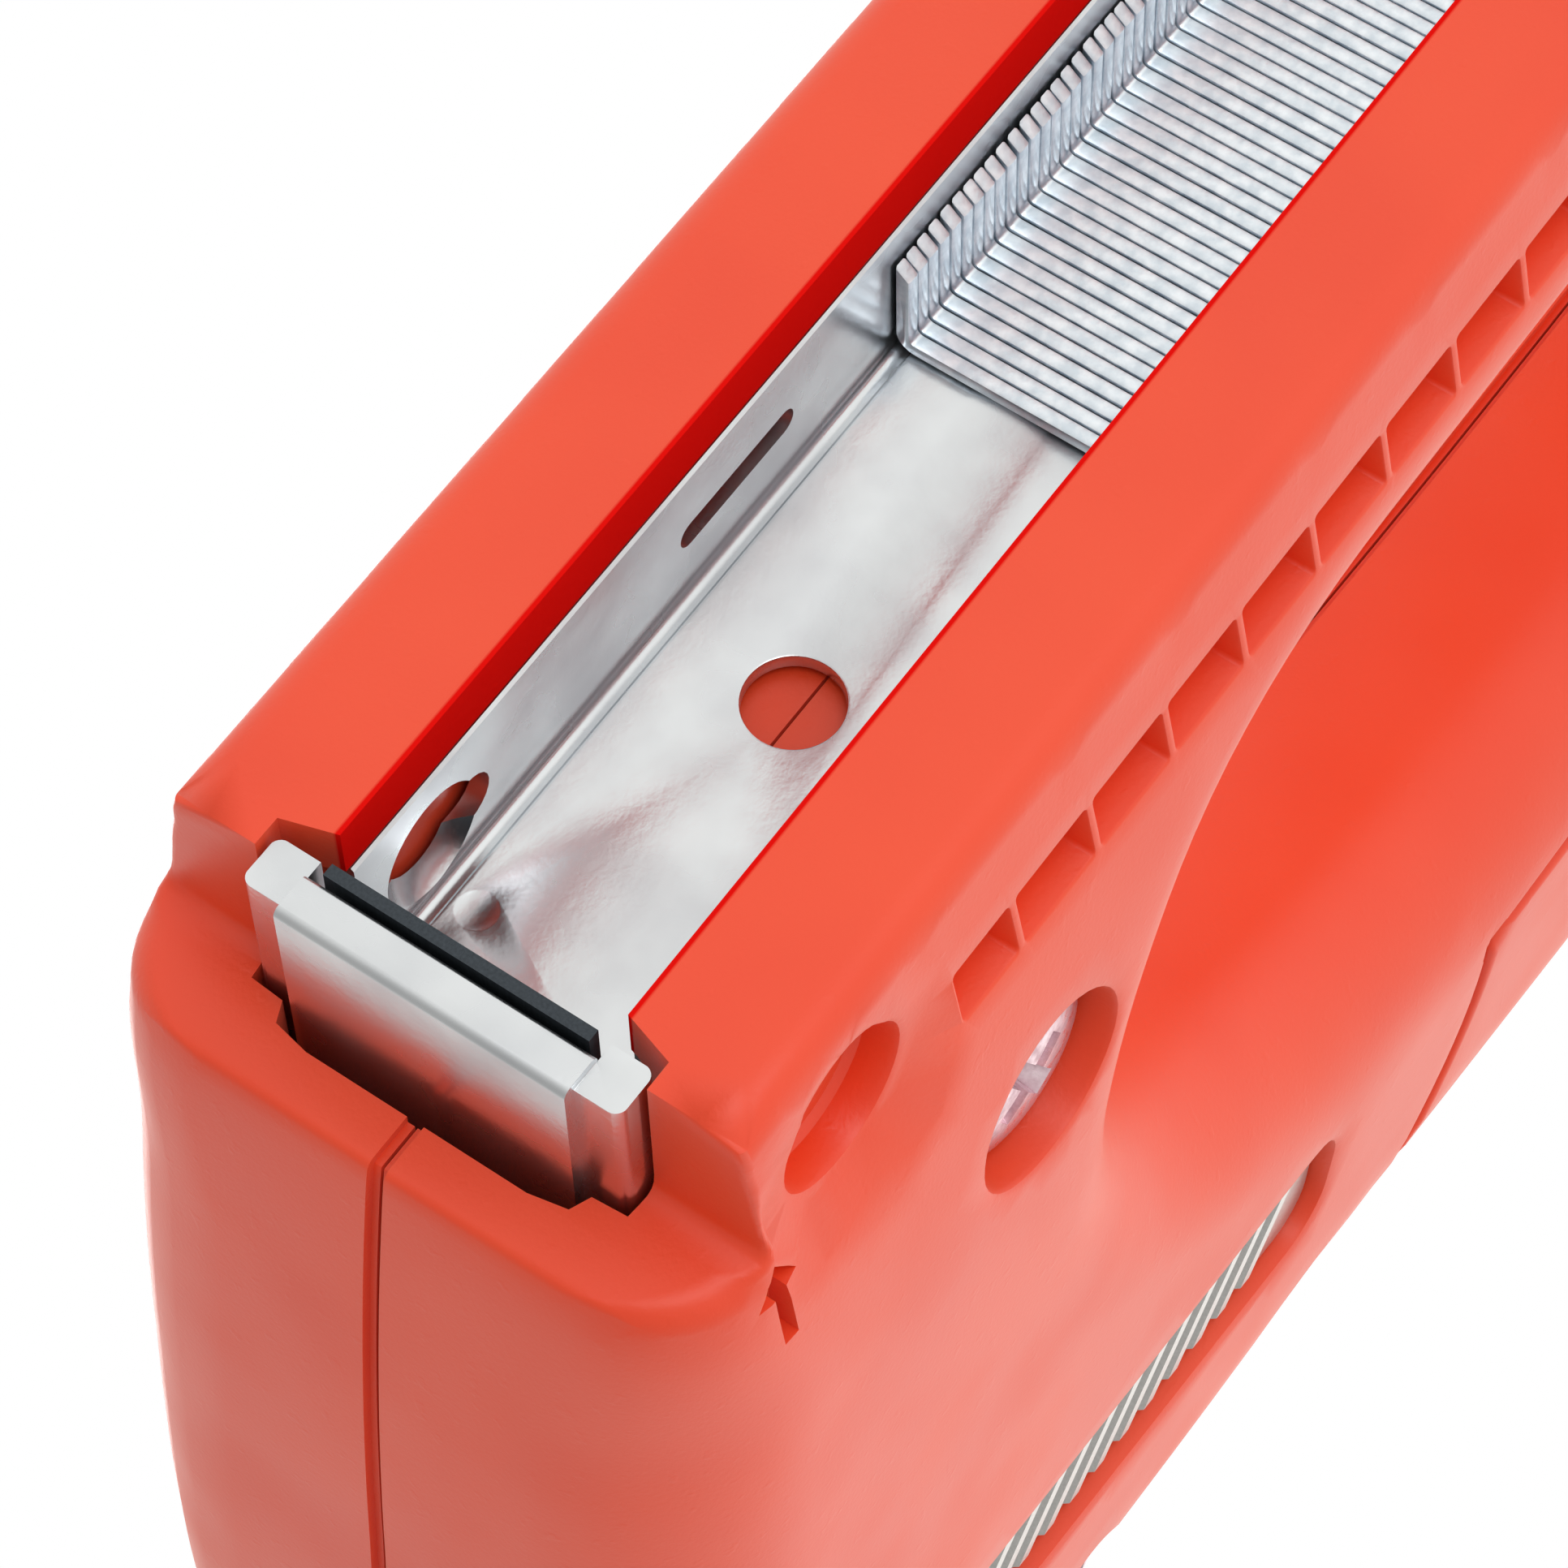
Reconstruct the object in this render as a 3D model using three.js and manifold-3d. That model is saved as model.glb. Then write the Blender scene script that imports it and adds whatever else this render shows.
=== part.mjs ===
// Hand staple gun with a plastic body in two halves and a bottom-loading magazine.
// Units are millimetres. +X points out of the nose, +Z is up, and the gun stands on
// its base rails at z = 0. Every shape below is placed from the driver blade, which
// strikes at x = 0 on the centre plane y = 0. The magazine is drawn pulled open.

import * as THREE from 'three';
import { mergeVertices } from 'three/addons/utils/BufferGeometryUtils.js';
import Module from 'manifold-3d';

const wasm = await Module();
wasm.setup();

// ---------------------------------------------------------------- driving sizes

const FIT_GAP = 0.3;            // between pieces that touch or slide on each other
const SEAM_GAP = 0.5;           // groove between the two body halves

const TAIL_X = -126;            // rear end of the base
const RAIL_FRONT_X = 0.6;       // front end of the base rails
const LIP_Z = 6.9;              // underside of the lip round the nose
const LIP_FRONT_X = 5.4;
const LIP_INNER_X = 3.2;        // front wall of the mouth behind the lip
const NOSE_FRONT_X = 9.8;       // furthest point of the nose
const BODY_TOP_Z = 75;
const HANDLE_TOP_Z = BODY_TOP_Z + 5.5;
const BASE_BAR_TOP_Z = 12;      // floor of the finger opening
const OPENING_FRONT_X = -22;
const OPENING_REAR_X = TAIL_X + 21;
const GRIP_UNDER_Z = BODY_TOP_Z - 21;        // underside of the grip
const GRIP_TOP_Z = BODY_TOP_Z - 15.7;        // where the grip starts behind the dome
const GRIP_TOP_REAR_Z = BODY_TOP_Z - 12;
const BASE_HALF_WIDTH = 11.7;
const BODY_HALF_WIDTH = 14.2;
const TOP_HALF_WIDTH = 13.6;
const TAIL_HALF_WIDTH = 11.7;
const EDGE_RADIUS = 5;          // rounding where the sides meet the outline

const STAPLE_WIDTH = 11.3;
const STAPLE_HEIGHT = 4.8;
const STAPLE_WIRE = 0.6;
const STAPLE_PITCH = 0.7;
const STAPLE_COUNT = 72;
const STRIP_FRONT_X = -32.7;

const CHANNEL_WALL = 0.75;
const CHANNEL_SIDE_GAP = 0.1;   // staple leg to channel flange
const CHANNEL_EDGE_Z = 2.6;     // lower edge of the flanges
const CHANNEL_WEB_Z = 9.3;      // inner face of the web
const CHANNEL_FRONT_X = -1.5;
const CHANNEL_REAR_X = TAIL_X + 8;
const WEB_HOLE_RADIUS = 1.9;
const WEB_HOLE_X = -18.4;

const BLADE_THICKNESS = 0.5;
const BLADE_SIDE_PLAY = 0.25;   // how much narrower than the staple on each side
const NOSE_PLATE_THICKNESS = 1.75;
const NOSE_PLATE_HALF_WIDTH = STAPLE_WIDTH / 2 + 0.25;
const NOSE_EAR_HALF_WIDTH = STAPLE_WIDTH / 2 + 2.05;
const MOUTH_TOP_Z = 24.2;

const PIVOT_X = -34;            // handle pivot
const PIVOT_Z = BODY_TOP_Z - 16;
const PIVOT_PIN_RADIUS = 2;
const DOME_RADIUS = BODY_TOP_Z - PIVOT_Z;
const LIFT_ARM = 23;            // pivot to lift pin
const LIFT_ARM_REST_DEG = 10;
const LIFT_PIN_RADIUS = 1.2;
const CORE_HALF_WIDTH = 6.2;
const CORE_WALL = 1.6;

const SPRING_BOTTOM_Z = 32.3;
const SPRING_TOP_Z = BODY_TOP_Z - 10;
const SPRING_RADIUS = 5.4;
const SPRING_WIRE_RADIUS = 0.95;
const CAVITY_TOP_Z = BODY_TOP_Z - 7.5;
const CAVITY_HALF_WIDTH = 9.4;

const TRAY_TRAVEL = 84;         // how far the magazine is pulled out
const RAIL_HALF_WIDTH = 4.4;
const RAIL_WALL = 0.8;
const RAIL_BOTTOM_Z = 2;
const RAIL_TOP_Z = 7.9;
const RAIL_FRONT_CLOSED_X = -2.2;
const RAIL_REAR_CLOSED_X = TAIL_X - 8;
const CAP_FRONT_CLOSED_X = TAIL_X - 1;
const CAP_LENGTH = 12;
const CAP_HALF_WIDTH = 11.2;
const CAP_BOTTOM_Z = 0.6;
const CAP_TOP_Z = 12.6;
const PUSHER_LENGTH = 14;
const PUSHER_FRONT_X = STRIP_FRONT_X - STAPLE_COUNT * STAPLE_PITCH - 1.4;
const ROD_Z = 5.2;
const ROD_RADIUS = 0.8;
const TRAY_PIN_RADIUS = 1;      // rivet that holds the rail in the end cap

const LATCH_ARM_INNER = 7.4;
const LATCH_ARM_WALL = 1.4;
const LATCH_HOOK = 1.3;         // how far the hook stands out from the arm
const LATCH_PAD_OUTER = 12;
const LATCH_BOTTOM_Z = 4;
const LATCH_TOP_Z = 10;

const SCREW_HEAD_RADIUS = 3.7;
const SCREW_BORE_RADIUS = SCREW_HEAD_RADIUS + 0.4;
const SCREW_HEAD_HEIGHT = 2.4;
const SCREW_SHANK_RADIUS = 1.5;

const WIRE_RADIUS = 0.9;        // handle lock wire
const WIRE_PIVOT_X = TAIL_X + 6;
const WIRE_PIVOT_Z = GRIP_UNDER_Z + 2;
const WIRE_LENGTH = 24;
const WIRE_REST_DEG = 233;

const ORANGE = 0xe8502c;
const STEEL = 0xd4d7da;
const DARK_STEEL = 0x3c4348;
const SPRING_STEEL = 0x9a9da0;
const BLACK_PLASTIC = 0x26282a;

// ------------------------------------------------------------------- helpers

// a solid from any closed three.js geometry
function solid(geometry) {
  const bare = geometry.clone();
  bare.deleteAttribute('normal');
  bare.deleteAttribute('uv');
  const merged = mergeVertices(bare, 1e-4);
  return new wasm.Manifold(new wasm.Mesh({
    numProp: 3,
    vertProperties: new Float32Array(merged.attributes.position.array),
    triVerts: new Uint32Array(merged.index.array),
  }));
}

// the geometry of a finished solid
function geometryOf(body) {
  const mesh = body.getMesh();
  const geometry = new THREE.BufferGeometry();
  geometry.setAttribute('position', new THREE.BufferAttribute(new Float32Array(mesh.vertProperties), 3));
  geometry.setIndex(new THREE.BufferAttribute(new Uint32Array(mesh.triVerts), 1));
  geometry.computeVertexNormals();
  return geometry;
}

const X = new THREE.Vector3(1, 0, 0);
const Y = new THREE.Vector3(0, 1, 0);
const Z = new THREE.Vector3(0, 0, 1);

// an outline in (x, z) carried from y = low to y = high
function alongY(shape, low, high, options = {}) {
  const bevel = options.bevelThickness ?? 0;
  const depth = high - low - 2 * bevel;
  const geometry = new THREE.ExtrudeGeometry(shape, { depth, bevelEnabled: bevel > 0, curveSegments: 4, ...options });
  geometry.translate(0, 0, bevel);
  geometry.applyMatrix4(new THREE.Matrix4().makeBasis(X, Z, Y.clone().negate()));
  return geometry.translate(0, high, 0);
}

// an outline in (y, z) carried from x = low to x = high
function alongX(shape, low, high) {
  const geometry = new THREE.ExtrudeGeometry(shape, { depth: high - low, bevelEnabled: false, curveSegments: 4 });
  geometry.applyMatrix4(new THREE.Matrix4().makeBasis(Y, Z, X));
  return geometry.translate(low, 0, 0);
}

// an outline in (x, y) carried from z = low to z = high
function alongZ(shape, low, high) {
  const geometry = new THREE.ExtrudeGeometry(shape, { depth: high - low, bevelEnabled: false, curveSegments: 4 });
  return geometry.translate(0, 0, low);
}

// a box from its two corners
function block(x1, x2, y1, y2, z1, z2) {
  const geometry = new THREE.BoxGeometry(x2 - x1, y2 - y1, z2 - z1);
  return solid(geometry.translate((x1 + x2) / 2, (y1 + y2) / 2, (z1 + z2) / 2));
}

// a round bar along Y, through (x, z)
function barY(x, z, radius, low, high, sides = 24) {
  const geometry = new THREE.CylinderGeometry(radius, radius, high - low, sides);
  return solid(geometry.translate(x, (low + high) / 2, z));
}

// a round bar along X, through (y, z)
function barX(y, z, radius, low, high, sides = 16) {
  const geometry = new THREE.CylinderGeometry(radius, radius, high - low, sides);
  geometry.rotateZ(-Math.PI / 2);
  return solid(geometry.translate((low + high) / 2, y, z));
}

// a round bar along Z, through (x, y)
function barZ(x, y, radius, low, high, sides = 24) {
  const geometry = new THREE.CylinderGeometry(radius, radius, high - low, sides);
  geometry.rotateX(Math.PI / 2);
  return solid(geometry.translate(x, y, (low + high) / 2));
}

// a closed polygon from a list of corners
function polygon(corners) {
  return new THREE.Shape(corners.map(([a, b]) => new THREE.Vector2(a, b)));
}

// a rectangle with round corners
function roundedRectangle(left, bottom, right, top, radius) {
  const shape = new THREE.Shape();
  shape.moveTo(left + radius, bottom);
  shape.lineTo(right - radius, bottom);
  shape.absarc(right - radius, bottom + radius, radius, -Math.PI / 2, 0);
  shape.absarc(right - radius, top - radius, radius, 0, Math.PI / 2);
  shape.absarc(left + radius, top - radius, radius, Math.PI / 2, Math.PI);
  shape.absarc(left + radius, bottom + radius, radius, Math.PI, 1.5 * Math.PI);
  return shape;
}

// the outline of a bar between two round ends of different size
function link(ax, az, aRadius, bx, bz, bRadius) {
  const angle = Math.atan2(bz - az, bx - ax);
  const lean = Math.acos((aRadius - bRadius) / Math.hypot(bx - ax, bz - az));
  const shape = new THREE.Shape();
  shape.absarc(ax, az, aRadius, angle + lean, angle - lean + 2 * Math.PI);
  shape.absarc(bx, bz, bRadius, angle - lean, angle + lean);
  return shape;
}

// a wire of round section along a curve
function wire(curve, radius, steps, sides = 8) {
  const section = new THREE.Shape();
  section.absarc(0, 0, radius, 0, 2 * Math.PI);
  const options = { steps, extrudePath: curve, curveSegments: sides / 2, bevelEnabled: false };
  return new THREE.ExtrudeGeometry(section, options);
}

// a coil: turns evenly spaced from start to end along its own axis (z)
class Helix extends THREE.Curve {
  constructor(radius, length, turns) {
    super();
    this.radius = radius;
    this.length = length;
    this.turns = turns;
  }

  getPoint(t, target = new THREE.Vector3()) {
    const angle = 2 * Math.PI * this.turns * t;
    return target.set(this.radius * Math.cos(angle), this.radius * Math.sin(angle), this.length * t);
  }
}

function coil(radius, wireRadius, length, turns, stepsPerTurn, sides) {
  const span = length - 2 * wireRadius;
  const geometry = wire(new Helix(radius, span, turns), wireRadius, Math.round(turns * stepsPerTurn), sides);
  return geometry.translate(0, 0, wireRadius);
}

// ---------------------------------------------------------------- the outline

// the closed gun seen from its side, with the finger opening through it
function gunOutline() {
  const below = -8;
  const shape = new THREE.Shape();
  shape.moveTo(TAIL_X, below);
  shape.lineTo(LIP_FRONT_X, below);
  shape.lineTo(LIP_FRONT_X, LIP_Z);
  shape.bezierCurveTo(LIP_FRONT_X + 1.2, 13.5, NOSE_FRONT_X - 2, 22, NOSE_FRONT_X - 1.25, 32);
  shape.bezierCurveTo(NOSE_FRONT_X - 0.35, 42, NOSE_FRONT_X + 0.8, BODY_TOP_Z - 22, NOSE_FRONT_X - 1.6, BODY_TOP_Z - 11);
  shape.bezierCurveTo(NOSE_FRONT_X - 4, BODY_TOP_Z - 3, -2, BODY_TOP_Z - 0.4, -12, BODY_TOP_Z - 0.2);
  shape.bezierCurveTo(-22, BODY_TOP_Z, -30, BODY_TOP_Z, -36, BODY_TOP_Z + 0.2);
  shape.bezierCurveTo(-50, BODY_TOP_Z + 1.6, -68, HANDLE_TOP_Z, -88, HANDLE_TOP_Z);
  shape.bezierCurveTo(-106, HANDLE_TOP_Z, TAIL_X + 6, HANDLE_TOP_Z - 2.5, TAIL_X, HANDLE_TOP_Z - 7);
  shape.bezierCurveTo(TAIL_X - 7, HANDLE_TOP_Z - 12, TAIL_X - 8, HANDLE_TOP_Z - 17, TAIL_X - 5, HANDLE_TOP_Z - 26);
  shape.bezierCurveTo(TAIL_X - 3, HANDLE_TOP_Z - 34.5, TAIL_X - 1, 34, TAIL_X, 16);
  shape.holes.push(fingerOpening());
  return shape;
}

function fingerOpening() {
  const front = OPENING_FRONT_X;
  const rear = OPENING_REAR_X;
  const floor = BASE_BAR_TOP_Z;
  const hole = new THREE.Path();
  hole.moveTo(front, floor + 14);
  hole.bezierCurveTo(front, floor + 5, front - 4, floor, front - 15, floor);
  hole.lineTo(rear + 12, floor);
  hole.bezierCurveTo(rear + 3, floor, rear, floor + 4, rear, floor + 12);
  hole.lineTo(rear - 0.5, GRIP_UNDER_Z - 12);
  hole.bezierCurveTo(rear - 0.5, GRIP_UNDER_Z - 3, rear + 4, GRIP_UNDER_Z + 0.5, rear + 14, GRIP_UNDER_Z + 0.5);
  hole.bezierCurveTo(-75, GRIP_UNDER_Z + 0.6, -60, GRIP_UNDER_Z, -50, GRIP_UNDER_Z - 1.8);
  hole.bezierCurveTo(-36, GRIP_UNDER_Z - 5, front, GRIP_UNDER_Z - 13, front, floor + 14);
  return hole;
}

// the air in front of the rails, under the lip
function underLip() {
  const shape = new THREE.Shape();
  const fillet = 1.5;
  shape.moveTo(RAIL_FRONT_X, -10);
  shape.lineTo(NOSE_FRONT_X + 5, -10);
  shape.lineTo(NOSE_FRONT_X + 5, LIP_Z);
  shape.lineTo(RAIL_FRONT_X + fillet, LIP_Z);
  shape.quadraticCurveTo(RAIL_FRONT_X, LIP_Z, RAIL_FRONT_X, LIP_Z - fillet);
  return solid(alongY(shape, -20, 20));
}

// the body's cross-section: narrow at the base, fuller above
function crossSection() {
  const shape = new THREE.Shape();
  const top = HANDLE_TOP_Z + 5;
  shape.moveTo(-BASE_HALF_WIDTH, 0);
  shape.lineTo(BASE_HALF_WIDTH, 0);
  shape.lineTo(BASE_HALF_WIDTH + 0.2, 2.6);
  shape.bezierCurveTo(BASE_HALF_WIDTH + 0.5, 6, BODY_HALF_WIDTH - 0.8, 9, BODY_HALF_WIDTH - 0.4, 17);
  shape.bezierCurveTo(BODY_HALF_WIDTH, 28, BODY_HALF_WIDTH, 45, TOP_HALF_WIDTH, 68);
  shape.lineTo(TOP_HALF_WIDTH - 0.4, top);
  shape.lineTo(-TOP_HALF_WIDTH + 0.4, top);
  shape.lineTo(-TOP_HALF_WIDTH, 68);
  shape.bezierCurveTo(-BODY_HALF_WIDTH, 45, -BODY_HALF_WIDTH, 28, -BODY_HALF_WIDTH + 0.4, 17);
  shape.bezierCurveTo(-BODY_HALF_WIDTH + 0.8, 9, -BASE_HALF_WIDTH - 0.5, 6, -BASE_HALF_WIDTH - 0.2, 2.6);
  return shape;
}

// the plan view: full width, drawn in at the tail
function planOutline() {
  const shape = new THREE.Shape();
  const wide = BODY_HALF_WIDTH + 2;
  const slim = TAIL_HALF_WIDTH;
  shape.moveTo(TAIL_X - 20, -slim);
  shape.lineTo(TAIL_X + 13, -slim);
  shape.bezierCurveTo(TAIL_X + 20, -slim, TAIL_X + 26, -BODY_HALF_WIDTH, TAIL_X + 36, -wide);
  shape.lineTo(NOSE_FRONT_X + 5, -wide);
  shape.lineTo(NOSE_FRONT_X + 5, wide);
  shape.lineTo(TAIL_X + 36, wide);
  shape.bezierCurveTo(TAIL_X + 26, BODY_HALF_WIDTH, TAIL_X + 20, slim, TAIL_X + 13, slim);
  shape.lineTo(TAIL_X - 20, slim);
  return shape;
}

// the whole closed gun as one rounded block
function gunBlank() {
  const rounding = {
    bevelThickness: EDGE_RADIUS,
    bevelSize: EDGE_RADIUS,
    bevelOffset: -EDGE_RADIUS,
    bevelSegments: 3,
    curveSegments: 6,
  };
  const side = solid(alongY(gunOutline(), -BODY_HALF_WIDTH, BODY_HALF_WIDTH, rounding));
  const section = solid(alongX(crossSection(), TAIL_X - 20, NOSE_FRONT_X + 5));
  const plan = solid(alongZ(planOutline(), -1, HANDLE_TOP_Z + 6));
  return side.intersect(section).intersect(plan).subtract(underLip());
}

// the space above the grip that belongs to the handle, outside a dome round the pivot
function handleRegion(gap) {
  const shape = new THREE.Shape();
  const radius = DOME_RADIUS + gap;
  const far = TAIL_X - 20;
  const low = Math.asin((GRIP_TOP_Z + gap - PIVOT_Z) / radius);
  shape.moveTo(PIVOT_X, HANDLE_TOP_Z + 10);
  shape.lineTo(PIVOT_X, PIVOT_Z + radius);
  shape.absarc(PIVOT_X, PIVOT_Z, radius, Math.PI / 2, Math.PI - low);
  shape.lineTo(far, GRIP_TOP_REAR_Z + gap);
  shape.lineTo(far, HANDLE_TOP_Z + 10);
  return solid(alongY(shape, -20, 20, { curveSegments: 6 }));
}

// ------------------------------------------------------------- where things sit

const liftAngle = THREE.MathUtils.degToRad(LIFT_ARM_REST_DEG);
const LIFT_X = PIVOT_X + LIFT_ARM * Math.cos(liftAngle);
const LIFT_Z = PIVOT_Z + LIFT_ARM * Math.sin(liftAngle);
const CORE_KNEE = { x: PIVOT_X - 18, z: PIVOT_Z + 7 };
const CORE_END = { x: TAIL_X + 18, z: PIVOT_Z + 9.5 };
const HANDLE_PIN_RADIUS = 1.5;
const HANDLE_PINS = {
  handle_pin_front: [PIVOT_X - 28, PIVOT_Z + 7.4],
  handle_pin_rear: [TAIL_X + 26, PIVOT_Z + 9.1],
};

const bladeHalfWidth = STAPLE_WIDTH / 2;
const channelInner = bladeHalfWidth + CHANNEL_SIDE_GAP;
const channelOuter = channelInner + CHANNEL_WALL;
const channelTop = CHANNEL_WEB_Z + CHANNEL_WALL;
const stripLength = STAPLE_COUNT * STAPLE_PITCH;

const TRAY_PIN_X = RAIL_REAR_CLOSED_X + 2.6;
const LATCH_FRONT_X = CAP_FRONT_CLOSED_X + 7.2;
const LATCH_HOOK_REAR_X = LATCH_FRONT_X - 2.4;
const LATCH_PAD_FRONT_X = CAP_FRONT_CLOSED_X - 3.4;
const LATCH_PAD_REAR_X = CAP_FRONT_CLOSED_X - 10;
const LATCH_SPRING_X = CAP_FRONT_CLOSED_X - 7;
const LATCH_SPRING_SEAT = RAIL_HALF_WIDTH + 0.8;
const latchArmOuter = LATCH_ARM_INNER + LATCH_ARM_WALL;
const latchMidZ = (LATCH_BOTTOM_Z + LATCH_TOP_Z) / 2;

const SCREWS = {
  body_screw_front: { x: -14.5, z: 17.5, scale: 1, seat: 4 - BODY_HALF_WIDTH },
  body_screw_top: { x: -19, z: BODY_TOP_Z - 3.8, scale: 0.7, seat: 4 - BODY_HALF_WIDTH },
  body_screw_rear_lower: { x: TAIL_X + 12.5, z: 20, scale: 1, seat: 3.5 - TAIL_HALF_WIDTH },
  body_screw_rear_upper: { x: TAIL_X + 12.5, z: GRIP_UNDER_Z - 2, scale: 1, seat: 3.5 - TAIL_HALF_WIDTH },
};
const SCREW_END_Y = 9;

// -------------------------------------------------------------- body halves

// the hollow that holds the driver, its spring and the front of the handle core
function noseCavity() {
  const wall = 2.1;
  const driver = polygon([
    [-16, MOUTH_TOP_Z],
    [NOSE_FRONT_X - wall - 1.4, MOUTH_TOP_Z],
    [NOSE_FRONT_X - wall - 1, SPRING_BOTTOM_Z],
    [NOSE_FRONT_X - wall - 0.8, PIVOT_Z - 9],
    [NOSE_FRONT_X - wall - 1, PIVOT_Z + 3],
    [NOSE_FRONT_X - wall - 2.8, CAVITY_TOP_Z],
    [-16, CAVITY_TOP_Z],
  ]);
  const arm = polygon([
    [-14, PIVOT_Z - 10.2],
    [PIVOT_X, PIVOT_Z - 6.2],
    [PIVOT_X - 18, PIVOT_Z - 2.2],
    [PIVOT_X - 21, PIVOT_Z + 7],
    [PIVOT_X - 10.2, BODY_TOP_Z + 6],
    [PIVOT_X + 1, CAVITY_TOP_Z],
    [-14, CAVITY_TOP_Z],
  ]);
  const armHalf = CORE_HALF_WIDTH + 1;
  const wide = solid(alongY(driver, -CAVITY_HALF_WIDTH, CAVITY_HALF_WIDTH));
  return wide.add(solid(alongY(arm, -armHalf, armHalf)));
}

// the mouth behind the lip, where the nose plate and the blade stand
function noseMouth() {
  const plate = block(-2.3, LIP_INNER_X, -channelOuter - 0.4, channelOuter + 0.4, -1, MOUTH_TOP_Z + 1);
  const earHalf = NOSE_EAR_HALF_WIDTH + 0.35;
  const ears = block(-0.9, LIP_INNER_X - 0.5, -earHalf, earHalf, -1, MOUTH_TOP_Z + 1);
  return plate.add(ears);
}

// the slot along the base for the steel channel and the magazine
function magazinePocket() {
  const rear = TAIL_X - 20;
  const slot = block(rear, -1.25, -channelInner - 0.1, channelInner + 0.1, -1, CHANNEL_EDGE_Z);
  const half = channelOuter + FIT_GAP;
  const channel = block(rear, -1.2, -half, half, CHANNEL_EDGE_Z - FIT_GAP, channelTop + FIT_GAP);
  const low = LATCH_BOTTOM_Z + 1 - FIT_GAP;
  const high = LATCH_TOP_Z - 1 + FIT_GAP;
  const mouthHalf = latchArmOuter + FIT_GAP;
  const catchHalf = latchArmOuter + LATCH_HOOK + FIT_GAP;
  const latchEnd = LATCH_FRONT_X + 2 * FIT_GAP;
  const arms = block(rear, latchEnd, -mouthHalf, mouthHalf, low, high);
  const catches = block(LATCH_HOOK_REAR_X - FIT_GAP, latchEnd, -catchHalf, catchHalf, low, high);
  return slot.add(channel).add(arms).add(catches);
}

// a row of shallow windows low on each side
function sideWindows() {
  const count = 16;
  const pitch = 4.6;
  const rib = 0.5;
  const first = -10.4;
  const depth = 1.6;
  const low = 4.6;
  const high = 7.2;
  const outer = BODY_HALF_WIDTH + 2;
  const floor = BASE_HALF_WIDTH + 0.8 - depth;
  let cut = null;
  for (const [near, far] of [[-outer, -floor], [floor, outer]]) {
    for (let i = 0; i < count; i += 1) {
      const front = first - i * pitch;
      const window = block(front - pitch + rib, front, near, far, low, high);
      cut = cut ? cut.add(window) : window;
    }
  }
  return cut;
}

// the hollow of the rear column
function rearCavity() {
  const shape = roundedRectangle(TAIL_X + 4.5, 26, TAIL_X + 17.5, GRIP_UNDER_Z - 8, 3);
  return solid(alongY(shape, -9, 9));
}

// the engraved arrow that shows which way the staple leaves
function arrows() {
  const centre = 0.6;
  const barb = 1.1;
  const half = 0.35;
  const tip = LIP_Z + 0.3;
  const neck = tip + 1.8;
  const tail = tip + 4.7;
  const shape = polygon([
    [centre, tip],
    [centre + barb, neck],
    [centre + half, neck],
    [centre + half, tail],
    [centre - half, tail],
    [centre - half, neck],
    [centre - barb, neck],
  ]);
  const floor = BODY_HALF_WIDTH - 2.1;
  return solid(alongY(shape, -20, -floor)).add(solid(alongY(shape, floor, 20)));
}

// recesses for the two side badges
const BADGE = { rear: -37.5, front: 1.5, middle: 58, height: 7.4, depth: 2.2, thickness: 0.9, tiltDeg: 8 };

// the badge's outline, turned so that it rises to the rear
function badgeOutline(inset) {
  const radius = 2.5 - inset;
  const half = BADGE.height / 2 - inset;
  const flat = roundedRectangle(BADGE.rear + inset, -half, BADGE.front - inset, half, radius);
  const tilt = THREE.MathUtils.degToRad(-BADGE.tiltDeg);
  const centre = new THREE.Vector2((BADGE.rear + BADGE.front) / 2, 0);
  const lift = new THREE.Vector2(0, BADGE.middle);
  return new THREE.Shape(flat.getPoints(6).map((p) => p.rotateAround(centre, tilt).add(lift)));
}

function badgeRecesses() {
  const shape = badgeOutline(0);
  const floor = BODY_HALF_WIDTH - BADGE.depth;
  return solid(alongY(shape, -20, -floor)).add(solid(alongY(shape, floor, 20)));
}

// screw holes: counterbored on the right, blind on the left
function screwHoles() {
  let cut = null;
  for (const { x, z, scale, seat } of Object.values(SCREWS)) {
    const bore = barY(x, z, SCREW_BORE_RADIUS * scale, -20, seat);
    const hole = barY(x, z, SCREW_SHANK_RADIUS * scale + FIT_GAP, seat - 1, SCREW_END_Y + FIT_GAP, 16);
    const both = bore.add(hole);
    cut = cut ? cut.add(both) : both;
  }
  return cut;
}

// blind holes for the pivot pin and the lock wire, and the round recess near the nose
function pivotHoles() {
  const pin = barY(PIVOT_X, PIVOT_Z, PIVOT_PIN_RADIUS + FIT_GAP, -11.3, 11.3);
  const wireRight = barY(WIRE_PIVOT_X, WIRE_PIVOT_Z, WIRE_RADIUS + FIT_GAP, -20, -9.6, 16);
  const wireLeft = barY(WIRE_PIVOT_X, WIRE_PIVOT_Z, WIRE_RADIUS + FIT_GAP, 9.6, 20, 16);
  const recessFloor = BASE_HALF_WIDTH - 1.5;
  const recessRight = barY(-4.6, 5.2, 3.2, -20, -recessFloor);
  const recessLeft = barY(-4.6, 5.2, 3.2, recessFloor, 20);
  return pin.add(wireRight).add(wireLeft).add(recessRight).add(recessLeft);
}

function bodyHalves() {
  const whole = gunBlank()
    .subtract(handleRegion(0))
    .subtract(noseCavity())
    .subtract(noseMouth())
    .subtract(magazinePocket())
    .subtract(sideWindows())
    .subtract(rearCavity())
    .subtract(arrows())
    .subtract(badgeRecesses())
    .subtract(screwHoles())
    .subtract(pivotHoles());
  const far = 300;
  return {
    right: whole.intersect(block(-far, far, -far, -SEAM_GAP / 2, -far, far)),
    left: whole.intersect(block(-far, far, SEAM_GAP / 2, far, -far, far)),
  };
}

// ---------------------------------------------------------- fixed metal pieces

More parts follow.
